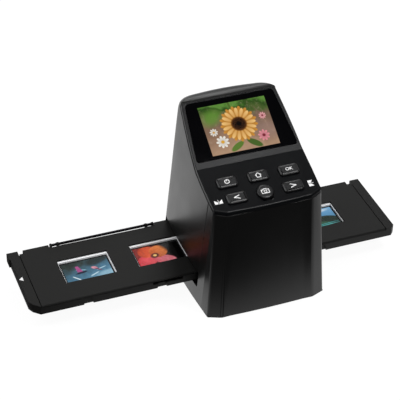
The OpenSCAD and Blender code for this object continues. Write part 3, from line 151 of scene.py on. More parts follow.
class ScannerHousingLook(bpy.types.PropertyGroup):
    shell_colour: colour_property("Shell colour", "Satin black of the main shell", "060606")
    panel_colour: colour_property("Panel colour", "Blue-black of the face panel", "060709")
    inner_colour: colour_property("Inner colour", "Matt black of the parts inside", "141414")
    shell_gloss: level_property("Shell roughness", "Roughness of the shell", 0.36, most=1)
    grain: length_property("Grain", "Size of the moulded grain", 0.00028)
    corner_radius: length_property("Corner radius", "Radius of the corner chamfers' edges", 0.0014)
    edge_radius: length_property("Edge radius", "Radius of the shell's other edges", 0.00035)
    ridge_radius: length_property("Ridge radius", "Radius of the edge below the keypad", 0.0013)
    seam_height: length_property(
        "Seam height", "Height from which the front edges stay crisp against the face panel", 0.075
    )


class ScannerKeyLook(bpy.types.PropertyGroup):
    key_colour: colour_property("Key colour", "Colour of the key caps", "090a0c")
    mark_colour: colour_property("Mark colour", "Colour of the printed marks", "e4e4e4")
    edge_radius: length_property("Edge radius", "Radius of the edges of a key cap", 0.0009)
    key_proud: length_property("Key height", "How far the keys stand out of the panel", 0.0015)
    stroke: length_property("Stroke", "Width of a printed line", 0.00055)
    letter_size: length_property("Letter size", "Size of the letters on the OK key", 0.0035)
    ink: length_property("Ink", "Thickness of a printed mark", 0.00003)


class ScannerHolderLook(bpy.types.PropertyGroup):
    holder_colour: colour_property("Holder colour", "Charcoal of the film holder", "111110")
    mount_colour: colour_property("Mount colour", "White of the slide mounts", "f0f1f3")
    grain: length_property("Grain", "Size of the holder's spark-eroded grain", 0.00045)
    edge_radius: length_property("Edge radius", "Radius of the holder's edges", 0.0002)
    mount_radius: length_property("Mount radius", "Radius of the slide mounts' edges", 0.00015)
    arrow_length: length_property("Arrow length", "Length of the insertion arrow", 0.0027)
    arrow_width: length_property("Arrow width", "Width of the insertion arrow", 0.0043)


class ScannerPictureLook(bpy.types.PropertyGroup):
    width: length_property("Picture width", "Width of the lit picture", 0.04896)
    height: length_property("Picture height", "Height of the lit picture", 0.03672)
    rise: length_property("Picture rise", "Distance from the glass's lower edge to the picture", 0.00285)
    glow: level_property("Glow", "Brightness of the lit picture", 0.95, most=3)
    petals: IntProperty(
        name="Petals", description="Number of front petals of the flower", default=17, min=5, max=40
    )
    glass_colour: colour_property("Glass colour", "Black print behind the glass", "030304")
    glass_radius: length_property("Glass radius", "Radius of the glass's edges", 0.0002)


class ScannerStageLook(bpy.types.PropertyGroup):
    floor_colour: colour_property("Floor colour", "Colour of the floor", "525252")
    floor_glow: level_property("Floor glow", "White that the camera sees in the floor", 0.94, most=1)
    world_level: level_property("Room light", "Level of the even room light", 0.65)
    mirror_top: level_property("Mirrored ceiling", "Level of the ceiling in reflections", 0.1)
    mirror_wall: level_property("Mirrored backdrop", "Level of the room's lower part in reflections", 0.9)
    mirror_floor: level_property(
        "Mirrored floor", "Level of the floor near the scanner in reflections", 1.3, most=3, least=1
    )
    fade_start: length_property("Fade start", "How far in front the mirrored floor starts to darken", 0.035)
    fade_end: length_property("Fade end", "How far in front the mirrored floor is black", 0.1)
    fade_side: length_property("Fade at the side", "How far to the left the mirrored floor is black", 0.15)
    fade_width: length_property("Fade width", "Width over which it darkens at that side", 0.05)
    camera_place: FloatVectorProperty(
        name="Camera place", description="Where the camera stands",
        default=(-0.29443, -0.739465, 0.656893), subtype="TRANSLATION", size=3
    )
    camera_turn: angle_property("Camera turn", "Heading of the camera", -0.37)
    camera_drop: angle_property("Camera drop", "Angle at which it looks down", 0.64)
    camera_roll: angle_property("Camera roll", "Roll of the camera", 0.02)
    lens: FloatProperty(
        name="Lens", description="Focal length on a 36 mm sensor", default=130.5, unit="CAMERA", min=10, max=500
    )


# ---- Shader expressions ----


class Value:
    """A socket in an expression: numbers go through Math nodes."""

    def __init__(self, surface, socket):
        self.surface = surface
        self.socket = socket

    def __add__(self, other):
        return self.surface.math("ADD", self, other)

    def __radd__(self, other):
        return self.surface.math("ADD", other, self)

    def __sub__(self, other):
        return self.surface.math("SUBTRACT", self, other)

    def __rsub__(self, other):
        return self.surface.math("SUBTRACT", other, self)

    def __mul__(self, other):
        return self.surface.math("MULTIPLY", self, other)

    def __rmul__(self, other):
        return self.surface.math("MULTIPLY", other, self)

    def __truediv__(self, other):
        return self.surface.math("DIVIDE", self, other)

    def __rtruediv__(self, other):
        return self.surface.math("DIVIDE", other, self)

    def __abs__(self):
        return self.surface.math("ABSOLUTE", self)


class Surface:
    """Builds the node tree of one finish."""

    def __init__(self, name, tree=None):
        if tree is None:
            self.material = bpy.data.materials.new(name)
            self.material.use_nodes = True
            tree = self.material.node_tree
        self.tree = tree
        self.tree.nodes.clear()

    def node(self, kind, settings=None, inputs=None):
        """Adds a node: its settings first, then the values or links of its sockets."""
        made = self.tree.nodes.new(kind)
        for key, setting in (settings or {}).items():
            if key == "stops":
                elements = made.color_ramp.elements
                while len(elements) < len(setting):
                    elements.new(0.5)
                for element, (position, code) in zip(elements, setting):
                    element.position = position
                    element.color = (*linear(code), 1.0)
            else:
                setattr(made, key, setting)
        for key, item in (inputs or {}).items():
            socket = self.find(made.inputs, key)
            if isinstance(item, Value):
                self.tree.links.new(item.socket, socket)
            elif isinstance(item, str):
                socket.default_value = (*linear(item), 1.0)
            elif socket.type == "RGBA":
                socket.default_value = (*item, 1.0)
            else:
                socket.default_value = item
        return made

    @staticmethod
    def find(sockets, key):
        if isinstance(key, int):
            return sockets[key]
        return next(s for s in sockets if s.enabled and key in (s.identifier, s.name))

    def out(self, made, key=0):
        return Value(self, self.find(made.outputs, key))

    def math(self, operation, *items):
        return self.out(self.node("ShaderNodeMath", {"operation": operation}, dict(enumerate(items))))

    def clamp(self, item):
        settings = {"operation": "ADD", "use_clamp": True}
        return self.out(self.node("ShaderNodeMath", settings, {0: item, 1: 0.0}))

    def distance(self, x, y):
        return self.math("SQRT", x * x + y * y)

    def window(self, x, y, half_width, half_height, sharpness):
        """The mask of a rectangle round the middle."""
        return self.clamp((half_width - abs(x)) * sharpness) * self.clamp((half_height - abs(y)) * sharpness)

    def dot(self, vector, axis):
        made = self.node("ShaderNodeVectorMath", {"operation": "DOT_PRODUCT"}, {0: vector, 1: tuple(axis)})
        return self.out(made, "Value")

    def place(self):
        return self.out(self.node("ShaderNodeTexCoord"), "Object")

    def rays(self):
        """Masks of the rays that see the white background, and of those that see reflections."""
        ray = self.node("ShaderNodeLightPath")
        seen = self.math("MAXIMUM", self.out(ray, "Is Camera Ray"), self.out(ray, "Is Transmission Ray"))
        return seen, self.out(ray, "Is Glossy Ray")

    def noise(self, vector, size, detail=2.0, roughness=0.5, distortion=0.0):
        return self.out(self.node("ShaderNodeTexNoise", {"noise_dimensions": "3D"}, {
            "Vector": vector, "Scale": 1.0 / size, "Detail": detail, "Roughness": roughness,
            "Distortion": distortion}))

    def mix(self, factor, a, b):
        made = self.node("ShaderNodeMix", {"data_type": "RGBA"}, {
            "Factor_Float": factor, "A_Color": a, "B_Color": b})
        return self.out(made, "Result_Color")

    def ramp(self, factor, stops):
        return self.out(self.node("ShaderNodeValToRGB", {"stops": stops}, {"Fac": factor}), "Color")

    def bump(self, height, depth):
        made = self.node("ShaderNodeBump", {}, {"Height": height, "Distance": depth, "Strength": 1.0})
        return self.out(made)

    def finish(self, **inputs):
        """Ends the tree with a Principled shader. The keywords are its sockets' names, with _ for a space."""
        sockets = {key.replace("_", " "): item for key, item in inputs.items()}
        shader = self.node("ShaderNodeBsdfPrincipled", {}, sockets)
        self.node("ShaderNodeOutputMaterial", {}, {"Surface": self.out(shader)})
        return self.material


# ---- Finishes ----

FINISHES = {}


def finish_once(make):
    """Makes a finish the first time it is asked for, and hands out the same one after that."""
    def get(*arguments):
        key = (make.__name__, *arguments)
        if key not in FINISHES:
            FINISHES[key] = make(*arguments)
        return FINISHES[key]
    return get


def scaled(colour, amount):
    """A colour made lighter or darker."""
    return tuple(min(1.0, c * amount) for c in colour)


def moulded(name, colour, roughness, grain, depth, specular=0.5, mottle=0.12):
    """Moulded plastic: fine grain in relief and gloss, and slow changes of tone."""
    surface = Surface(name)
    place = surface.place()
    fine = surface.noise(place, grain, 2.0, 0.6)
    slow = surface.noise(place, TONE_PATCH, 3.0)
    tone = surface.clamp((fine - 0.5) * 1.6 + (slow - 0.5) * 0.8 + 0.5)
    base = surface.mix(tone, scaled(colour, 1 - mottle), scaled(colour, 1 + mottle))
    rough = surface.clamp((fine - 0.5) * 0.1 + (slow - 0.5) * 0.1 + roughness)
    return surface.finish(Base_Color=base, Roughness=rough, Specular_IOR_Level=specular,
                          Normal=surface.bump(fine, depth))


@finish_once
def shell_finish():
    look = bpy.context.scene.scanner_housing
    return moulded("satin_black_shell", look.shell_colour, look.shell_gloss, look.grain, 5e-6, specular=0.32)


@finish_once
def panel_finish():
    look = bpy.context.scene.scanner_housing
    return moulded("blue_black_panel", look.panel_colour, 0.32, look.grain, 5e-6, specular=0.18)


@finish_once
def inner_finish():
    look = bpy.context.scene.scanner_housing
    return moulded("matt_black_inside", look.inner_colour, 0.7, 0.0004, 1e-5, specular=0.3)


@finish_once
def key_finish():
    look = bpy.context.scene.scanner_keys
    return moulded("key_cap_plastic", look.key_colour, 0.38, 0.0002, 2e-6)


@finish_once
def mark_finish():
    look = bpy.context.scene.scanner_keys
    surface = Surface("printed_white")
    patch = surface.noise(surface.place(), 0.0003)
    tone = surface.mix(patch, scaled(look.mark_colour, 0.92), look.mark_colour)
    return surface.finish(Base_Color=tone, Roughness=0.5)


@finish_once
def holder_finish():
    look = bpy.context.scene.scanner_holder
    return moulded("charcoal_holder", look.holder_colour, 0.58, look.grain, 2e-5, specular=0.2, mottle=0.3)


@finish_once
def mount_finish():
    look = bpy.context.scene.scanner_holder
    return moulded("white_slide_mount", look.mount_colour, 0.45, 0.0005, 1e-5, mottle=0.04)


@finish_once
def metal_finish(name, code, roughness, stretch):
    """Rolled or turned metal with fine lines along one way."""
    surface = Surface(name)
    place = surface.place()
    lines = surface.out(surface.node("ShaderNodeMapping", {}, {"Vector": place, "Scale": stretch}))
    brushed = surface.noise(lines, 0.0006, 3.0, 0.6)
    stain = surface.noise(place, 0.006)
    base = surface.mix(stain, scaled(linear(code), 0.85), code)
    rough = surface.clamp(roughness + (brushed - 0.5) * 0.2)
    return surface.finish(Base_Color=base, Metallic=1.0, Roughness=rough, Normal=surface.bump(brushed, 4e-6))


def steel_finish():
    return metal_finish("bright_steel", "b8bac0", 0.3, (1.0, 1.0, 6.0))


@finish_once
def rubber_finish():
    return moulded("foot_rubber", linear("1a1a1a"), 0.85, 0.0005, 3e-5, specular=0.25)


@finish_once
def board_finish():
    """Green solder mask over copper tracks."""
    surface = Surface("circuit_board")
    place = surface.place()
    cells = surface.node("ShaderNodeTexVoronoi", {"feature": "DISTANCE_TO_EDGE"}, {
        "Vector": place, "Scale": TRACKS})
    track = surface.clamp(1.0 - surface.out(cells, "Distance") * 9.0)
    base = surface.mix(track, "0f4a26", "1d6b3a")
    return surface.finish(Base_Color=base, Roughness=0.4, Normal=surface.bump(track, 2e-5))


@finish_once
def plain_part_finish(name, code, roughness):
    return moulded(name, linear(code), roughness, 0.0004, 6e-6)


@finish_once
def lens_finish():
    surface = Surface("coated_lens")
    ring = surface.noise(surface.place(), 0.004, 1.0)
    tint = surface.mix(ring, "cfe3ef", "d9cff0")
    return surface.finish(Base_Color=tint, Roughness=0.03, Transmission_Weight=0.9, IOR=1.5)


@finish_once
def lamp_finish():
    surface = Surface("lamp_cap")
    patch = surface.noise(surface.place(), 0.0012, 1.0)
    tint = surface.mix(patch, "f4e9a0", "fff6c8")
    return surface.finish(Base_Color=tint, Roughness=0.25, Coat_Weight=0.5)


# ---- Pictures ----


class Picture:
    """Soft-edged shapes painted over each other on a surface, in millimetres from the picture's middle."""

    def __init__(self, surface, across, up, ground):
        self.surface = surface
        self.a = across
        self.b = up
        self.colour = ground

    def lay(self, mask, colour):
        self.colour = self.surface.mix(mask, self.colour, colour)

    def turned(self, a, b, angle):
        """Where each spot lies from a point, along axes that are turned by an angle."""
        c, s = math.cos(angle), math.sin(angle)
        x, y = self.a - a, self.b - b
        return x * c + y * s, y * c - x * s

    def oval(self, a, b, wide, high, angle=0.0, soft=0.4):
        x, y = self.turned(a, b, angle)
        reach = self.surface.distance(x / wide, y / high)
        return self.surface.clamp((1.0 - reach) * (min(wide, high) / soft) + 0.5)

    def side(self, a, b, angle, soft=0.4):
        """The half of the picture that lies on one side of a line through a point."""
        x, _ = self.turned(a, b, angle)
        return self.surface.clamp(0.5 - x / soft)

    def band(self, a, b, angle, wide, soft=0.3):
        x, _ = self.turned(a, b, angle)
        return self.surface.clamp((wide / 2 - abs(x)) / soft + 0.5)

    def flower(self, a, b, reach, petals, turn, fullness, soft=0.5):
        """Petals round a point: their mask, how far out a spot lies, and how near a petal's middle."""
        surface = self.surface
        x, y = self.turned(a, b, turn)
        radius = surface.distance(x, y)
        angle = surface.math("ARCTAN2", y, x)
        lobe = abs(surface.math("COSINE", angle * (petals / 2.0)))
        edge = (surface.math("POWER", lobe, fullness) * 0.5 + 0.5) * reach
        return surface.clamp((edge - radius) / soft + 0.5), surface.clamp(radius / reach), lobe


def garden_picture(surface, place, across, up):
    """A golden flower with a dark middle before a path and a strip of grass."""
    look = bpy.context.scene.scanner_picture
    blur = surface.noise(place, 0.011, 3.0, 0.55, 0.6)
    fine = surface.noise(place, 0.0022, 3.0, 0.6)
    height = up / (look.height / MM) + 0.5
    ground = surface.ramp(surface.clamp(height + (blur - 0.5) * 0.55), (
        (0.0, "b08f74"), (0.38, "8d6f5a"), (0.66, "77604f"),
        (0.8, "4f6130"), (0.9, "2f4d1c"), (1.0, "5c8a3a")))
    picture = Picture(surface, across, up, ground)
    picture.lay(surface.clamp((fine - 0.55) * 3.0) * 0.35, "c9b39c")
    picture.lay(picture.oval(-17, 9, 7, 5, 0.4, 5) * 0.8, "5f8f35")
    picture.lay(picture.oval(19, -6, 9, 6, -0.3, 6) * 0.5, "9a8078")
    picture.lay(picture.band(1.2, -12, 0.12, 1.5) * picture.side(0, -5, -math.pi / 2, 1.0), "4d6a2b")
    picture.lay(picture.oval(-5.2, -14.6, 5.6, 2.1, 0.5, 0.5), "5c7a33")
    picture.lay(picture.oval(7.4, -14.2, 5.8, 2.2, -0.6, 0.5), "48632a")
    middle = (0.6, 1.4)
    for reach, turn, dark, light in ((13.4, 0.18, "8a5a1e", "c98b3a"), (12.2, 0.0, "b87828", "f0c47c")):
        mask, out, lobe = picture.flower(*middle, reach, look.petals, turn, 0.6)
        shade = surface.clamp(out * 1.1 - 0.25 + (lobe - 0.6) * 0.5)
        picture.lay(mask, surface.mix(shade, dark, light))
    seeds = surface.noise(place, 0.0006, 2.0, 0.6)
    picture.lay(picture.oval(*middle, 5.6, 5.3, 0, 0.9), "5a3416")
    heart = picture.oval(*middle, 4.5, 4.2, 0, 0.8)
    picture.lay(heart, surface.mix(surface.clamp((seeds - 0.4) * 4), "160d08", "4a2c18"))
    picture.lay(picture.oval(*middle, 1.9, 1.8, 0, 1.2), "0d0806")
    for a, b, reach, turn, petal, heart in (
            (-14.5, -9.5, 4.6, 0.3, "f1ece2", "d9a23c"), (15.2, -10.2, 4.2, 0.8, "e6909a", "7a2a35"),
            (-18.6, -1.6, 2.9, 0.1, "ece6dc", "cf9a3c"), (18.6, 4.2, 2.6, 0.5, "e9a5a8", "83303a")):
        mask, out, _ = picture.flower(a, b, reach, 9, turn, 0.7, 0.35)
        picture.lay(mask, surface.mix(out, scaled(linear(petal), 0.6), petal))
        picture.lay(picture.oval(a, b, reach * 0.28, reach * 0.26, 0, 0.35), heart)
    return picture.colour


def sea_slide(surface, place, across, up):
    """Grey-blue water with a magenta sail, white wave streaks and dark cliffs."""
    blur = surface.noise(place, 0.006, 3.0, 0.6, 0.8)
    ground = surface.ramp(surface.clamp((up - across * 0.35) / 30 + 0.5 + (blur - 0.5) * 0.5), (
        (0.0, "5e8ba3"), (0.35, "3f6880"), (0.6, "35525f"), (0.85, "26302d"), (1.0, "151917")))
    picture = Picture(surface, across, up, ground)
    picture.lay(picture.oval(9, 8, 9, 4, 0.3, 2.0) * 0.85, "1c211e")
    picture.lay(picture.oval(13, -7, 7, 2.6, 0.15, 2.0) * 0.6, "8fb3c4")
    for a, b, angle, wide, tone in (
            (-9, -7, 0.75, 0.45, "c3d3da"), (4, -6, -1.15, 0.5, "a7c2cf"),
            (-4, 1, 1.35, 0.4, "7fa3b5"), (10, -1, -1.3, 0.4, "9dbac8")):
        x, y = picture.turned(a, b, angle)
        picture.lay(surface.clamp((wide - abs(x)) / 0.3 + 0.5) * surface.clamp((4.0 - abs(y)) / 1.5), tone)
    sail = picture.side(-3.4, 0, 0.32)
    for a, b, angle in ((-7.0, 0, math.pi + 0.05), (0, -0.8, -math.pi / 2), (0, 5.6, math.pi / 2)):
        sail = sail * picture.side(a, b, angle)
    picture.lay(sail, surface.mix(surface.clamp(blur), "7a3568", "b0528a"))
    picture.lay(picture.oval(-4.4, -1.9, 4.2, 1.0, 0.12, 0.4), "1b1c30")
    picture.lay(picture.oval(5.4, 0.6, 2.2, 1.2, -0.5, 0.5), "c98794")
    picture.lay(picture.oval(7.6, -1.6, 2.8, 0.6, -0.7, 0.4), "6a2f48")
    return picture.colour


def poppy_slide(surface, place, across, up):
    """A red-orange flower with pink petals against the dark."""
    blur = surface.noise(place, 0.004, 3.0, 0.6, 1.0)
    ground = surface.ramp(surface.clamp(0.5 - across / 34 + (blur - 0.5) * 0.6), (
        (0.0, "050505"), (0.4, "160908"), (0.62, "5c1712"), (1.0, "7d1d18")))
    picture = Picture(surface, across, up, ground)
    for a, b, wide, high, turn, dark, light in (
            (-9.5, -4.5, 8.5, 6.0, 0.5, "b3222e", "e0505a"), (2.5, -6.5, 8.0, 4.4, -0.35, "c63a4a", "ee8b97"),
            (-7.5, 4.5, 6.5, 6.2, -0.4, "a3300f", "e2582a"), (0.5, 3.0, 6.6, 6.4, 0.7, "b8440f", "f08a3c")):
        x, _ = picture.turned(a, b, turn)
        shade = surface.clamp(0.5 + x / (2 * wide) + (blur - 0.5) * 1.2)
        picture.lay(picture.oval(a, b, wide, high, turn, 0.7), surface.mix(shade, dark, light))
    picture.lay(picture.oval(-3.2, -0.8, 3.2, 2.6, 0.4, 1.0), "5a1208")
    picture.lay(picture.oval(-3.0, -0.6, 1.3, 1.1, 0.0, 0.5), "f3c06a")
    picture.lay(picture.side(7.5, 0, math.pi + 0.45, 2.5) * 0.9, "040404")
    return picture.colour


def lake_slide(surface, place, across, up):
    """Dark hills and turquoise water under a blue sky."""
    blur = surface.noise(place, 0.005, 3.0, 0.6, 0.5)
    ground = surface.ramp(surface.clamp(up / 23 + 0.5 + (blur - 0.5) * 0.16), (
        (0.0, "2f6f86"), (0.22, "2b5d68"), (0.45, "4f86a8"), (0.7, "5a93bd"), (1.0, "7fb2d6")))
    picture = Picture(surface, across, up, ground)
    picture.lay(picture.oval(-11, -3, 13, 7.5, 0.25, 0.8), "1f3a2a")
    picture.lay(picture.oval(10, -5, 12, 6.4, -0.3, 0.8), "16281f")
    picture.lay(picture.oval(1, -8, 10, 4.0, 0.0, 0.8), "27503a")
    for b, tone in ((-7.4, "3fa3a8"), (-9.0, "58bcc0"), (-10.4, "2f8a92")):
        picture.lay(picture.band(0, b, math.pi / 2 + 0.06, 0.6) * picture.oval(0, b, 14, 4, 0.0, 3.0), tone)
    picture.lay(picture.oval(7, 8, 5, 1.2, 0.1, 1.5) * 0.7, "dfe9ee")
    return picture.colour


def dune_slide(surface, place, across, up):
    """Sand dunes at dusk."""
    blur = surface.noise(place, 0.006, 3.0, 0.6, 0.5)
    ground = surface.ramp(surface.clamp(up / 23 + 0.5), (
        (0.0, "8a5a34"), (0.5, "c98a4c"), (0.6, "7a6a8c"), (1.0, "33406a")))
    picture = Picture(surface, across, up, ground)
    picture.lay(picture.oval(-8, -9, 17, 8, 0.2, 0.8), surface.mix(blur, "6b4024", "b5763c"))
    picture.lay(picture.oval(12, -10, 14, 7, -0.2, 0.8), surface.mix(blur, "4d2f1e", "9a6232"))
    return picture.colour


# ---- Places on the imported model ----


def corners(node):
    """The points of a node's solid at rest."""
    return [vertex.co.copy() for vertex in NODES[node].data.vertices]


def press_axis():
    """The way in which the keys move, which points out of the keypad."""
    joint = next(j for j in FRAME["joints"] if j["name"] == "scan_press")
    return Vector(joint["axis"]).normalized()


def glass_out():
    """The way that the display glass faces."""
    mesh = NODES["display_glass"].data
    top = max((p for p in mesh.polygons if p.normal.z > 0.5), key=lambda p: p.area)
    return Vector((0, top.normal.y, top.normal.z)).normalized()


def up_slope(out):
    """The way up a face, square to the way that it faces."""
    return out.cross(ACROSS).normalized()


def middle_along(spots, way):
    """How far along a way the middle of some points lies."""
    reaches = [spot.dot(way) for spot in spots]
    return (min(reaches) + max(reaches)) / 2


def face_frame(node, out):
    """The frame at the middle of a node's outermost face: x across, y up the slope and z out of it."""
    spots = corners(node)
    up = up_slope(out)
    top = max(spot.dot(out) for spot in spots)
    origin = ACROSS * middle_along(spots, ACROSS) + up * middle_along(spots, up) + out * top
    return Matrix.Translation(origin) @ Matrix((ACROSS, up, out)).transposed().to_4x4()


# ---- Shapes ----


def new_object(name, form):
    """Turns a bmesh into an object of the scene."""
    mesh = bpy.data.meshes.new(name)
    form.to_mesh(mesh)
    form.free()
    made = bpy.data.objects.new(name, mesh)
    bpy.context.scene.collection.objects.link(made)
    return made


def piece(name, form, body, material, smooth=None):
    """Makes a piece that rides on a body. Edges flatter than the angle in smooth are shaded smooth."""
    made = new_object(name, form)
    made.data.materials.append(material)
    if smooth is not None:
        made.data.shade_smooth()
        made.data.set_sharp_from_angle(angle=math.radians(smooth))
        made.modifiers.new("flat_faces", "WEIGHTED_NORMAL").keep_sharp = True
    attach(made, body)
    return made


def merged(node):
    """A bmesh of a node's solid with its loose triangles joined into whole faces."""
    form = bmesh.new()
    form.from_mesh(NODES[node].data)
    bmesh.ops.remove_doubles(form, verts=form.verts, dist=MERGE_GAP)
    bmesh.ops.dissolve_limit(form, angle_limit=math.radians(FLAT_ANGLE), verts=form.verts, edges=form.edges)
    bmesh.ops.recalc_face_normals(form, faces=form.faces)
    return form


def sharp_edges(form, angle, choose=lambda edge: True):
    """The edges at which a solid turns by more than an angle in degrees."""
    return [edge for edge in form.edges
            if len(edge.link_faces) == 2 and edge.calc_face_angle(0) > math.radians(angle) and choose(edge)]


def edge_middle(edge):
    return (edge.verts[0].co + edge.verts[1].co) / 2


def soften(form, radius, edges, segments=2, clamp=False):
    """Rounds edges, by no more than there is room for if clamp is on."""
    if edges:
        bmesh.ops.bevel(form, geom=edges, offset=radius, offset_type="OFFSET", segments=segments, profile=0.5,
                        affect="EDGES", clamp_overlap=clamp, material=-1)


def dressed_copy(node, name, body, material, radius):
    """A node's solid with its long hard edges rounded, standing in for the node."""
    form = merged(node)
    soften(form, radius, sharp_edges(form, 30, lambda edge: edge.calc_length() > 3 * radius))
    made = piece(name, form, body, material, smooth=35)
    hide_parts(node)


def finish_nodes(material, *names):
    for name in names:
        for slot in NODES[name].material_slots:
            slot.material = material


def printed(form, place, thickness):
    """Gives flat faces their thickness and puts them in place."""
    made = bmesh.ops.extrude_face_region(form, geom=form.faces[:])["geom"]
    raised = [item for item in made if isinstance(item, bmesh.types.BMVert)]
    bmesh.ops.translate(form, vec=(0, 0, thickness), verts=raised)
    bmesh.ops.recalc_face_normals(form, faces=form.faces)
    bmesh.ops.transform(form, matrix=place, verts=form.verts)
    return form


def add_polygon(form, points):
    return form.faces.new([form.verts.new((x * MM, y * MM, 0)) for x, y in points])


def hollow(form, shape, stroke):
    """Leaves only a strip of even width inside a face's edge."""
    shape.normal_update()
    bmesh.ops.inset_region(form, faces=[shape], thickness=stroke, use_even_offset=True, use_boundary=True)
    bmesh.ops.delete(form, geom=[shape], context="FACES_ONLY")


def add_ring(form, centre, radius, stroke, count=40):
    made = bmesh.ops.create_circle(form, cap_ends=True, radius=radius, segments=count,
                                   matrix=Matrix.Translation((centre[0] * MM, centre[1] * MM, 0)))
    hollow(form, made["verts"][0].link_faces[0], stroke)


def key_marks(form, key, stroke):
    """Draws the symbol of one key, round the middle of its face."""
    wide = stroke / MM
    if key == "power":
        add_ring(form, (0, 0), 1.8 * MM, stroke)
        add_polygon(form, ((-wide / 2, 0.2), (wide / 2, 0.2), (wide / 2, 1.6), (-wide / 2, 1.6)))
    elif key == "home":
        hollow(form, add_polygon(form, HOUSE), stroke)
    elif key == "scan":
        hollow(form, add_polygon(form, CAMERA), stroke)
        add_ring(form, (0, -0.2), 1.2 * MM, stroke * 0.8, 28)
    else:
        turn = 1 if key == "left" else -1
        reach = 1.7 - wide * 1.1
        arrow = ((2.1, 1.7), (-2.1, 0.25), (-2.1, -0.25), (2.1, -1.7), (2.1, -reach), (-0.9, 0), (2.1, reach))
        add_polygon(form, [(x * turn, y * turn) for x, y in arrow])


def text_form(words, size):
    """Letters as flat faces round their own middle."""
    curve = bpy.data.curves.new("letters", "FONT")
    curve.body = words
    curve.size = size
    curve.align_x = "CENTER"
    curve.align_y = "CENTER"
    curve.offset = size * LETTER_WEIGHT
    letters = bpy.data.objects.new("letters", curve)
    bpy.context.scene.collection.objects.link(letters)
    bpy.context.view_layer.update()
    form = bmesh.new()
    form.from_mesh(letters.to_mesh())
    letters.to_mesh_clear()
    bpy.data.objects.remove(letters)
    bpy.data.curves.remove(curve)
    return form


# ---- Operators ----


class SCANNER_OT_stage(bpy.types.Operator):
    """Set the scanner on a white floor under soft studio light, and place the camera"""

    bl_idname = "scanner.stage"
    bl_label = "Stage"

    def execute(self, context):
        scene = context.scene
        look = scene.scanner_stage
        scene.view_settings.view_transform = "Standard"
        self.add_floor(look)
        self.add_world(scene, look)
        for lamp in LAMPS:
            self.add_lamp(scene, *lamp)
        self.add_camera(scene, look)
        return {"FINISHED"}

    @staticmethod
    def add_floor(look):
        """A floor that the camera sees as white, and that reflections see as dark away from the scanner."""
        form = bmesh.new()
        bmesh.ops.create_grid(form, x_segments=1, y_segments=1, size=FLOOR_REACH)
        floor = new_object("floor", form)
        surface = Surface("white_floor")
        seen, mirrored = surface.rays()
        place = surface.place()
        speck = surface.noise(place, 0.05)
        tone = surface.mix(speck, scaled(look.floor_colour, 0.99), look.floor_colour)
        fade = look.fade_end - look.fade_start
        near = surface.clamp((surface.dot(place, FADE_WAY) + look.fade_end) / fade)
        beside = surface.clamp((surface.dot(place, ACROSS) + look.fade_side) / look.fade_width)
        level = seen * (look.floor_glow / look.mirror_floor) + mirrored * near * beside
        floor.data.materials.append(surface.finish(
            Base_Color=tone, Roughness=0.9, Specular_IOR_Level=0.0,
            Emission_Color=surface.mix(level, (0, 0, 0), (1, 1, 1)), Emission_Strength=look.mirror_floor))

    @staticmethod
    def add_world(scene, look):
        """White to the camera, even room light, and a darker room with a pale backdrop in reflections."""
        scene.world = scene.world or bpy.data.worlds.new("studio")
        scene.world.use_nodes = True
        surface = Surface("studio", scene.world.node_tree)
        seen, mirrored = surface.rays()
        way = surface.place()
        high = surface.clamp((surface.dot(way, (0.0, 0.0, 1.0)) - CEILING[0]) / CEILING[1])
        behind = surface.clamp(surface.dot(way, BACKDROP_FADE))
        room = (1.0 - high) * behind * (look.mirror_wall - look.mirror_top) + look.mirror_top
        level = seen + (1.0 - seen) * (mirrored * room + (1.0 - mirrored) * look.world_level)
        shader = surface.node("ShaderNodeBackground", {}, {"Color": (1, 1, 1), "Strength": level})
        surface.node("ShaderNodeOutputWorld", {}, {"Surface": surface.out(shader)})

    @staticmethod
    def add_lamp(scene, name, spot, target, side, energy):
        lamp = bpy.data.lights.new(name, "AREA")
        lamp.shape = "SQUARE"
        lamp.size = side
        lamp.energy = energy
        made = bpy.data.objects.new(name, lamp)
        made.location = spot
        made.rotation_euler = (Vector(target) - Vector(spot)).to_track_quat("-Z", "Y").to_euler()
        scene.collection.objects.link(made)

    @staticmethod
    def add_camera(scene, look):
        a, e, roll = look.camera_turn, look.camera_drop, look.camera_roll
        back = Vector((math.sin(a) * math.cos(e), -math.cos(a) * math.cos(e), math.sin(e)))
        right = Vector((math.cos(a), math.sin(a), 0))
        up = back.cross(right)
        rolled_right = right * math.cos(roll) + up * math.sin(roll)
        rolled_up = up * math.cos(roll) - right * math.sin(roll)
        turn = Matrix((rolled_right, rolled_up, back)).transposed()
        camera = bpy.data.cameras.new("camera")
        camera.lens = look.lens
        camera.sensor_width = 36.0
        camera.clip_start = 0.02
        camera.clip_end = 50.0
        made = bpy.data.objects.new("camera", camera)
        made.matrix_world = Matrix.Translation(Vector(look.camera_place)) @ turn.to_4x4()
        scene.collection.objects.link(made)
        scene.camera = made


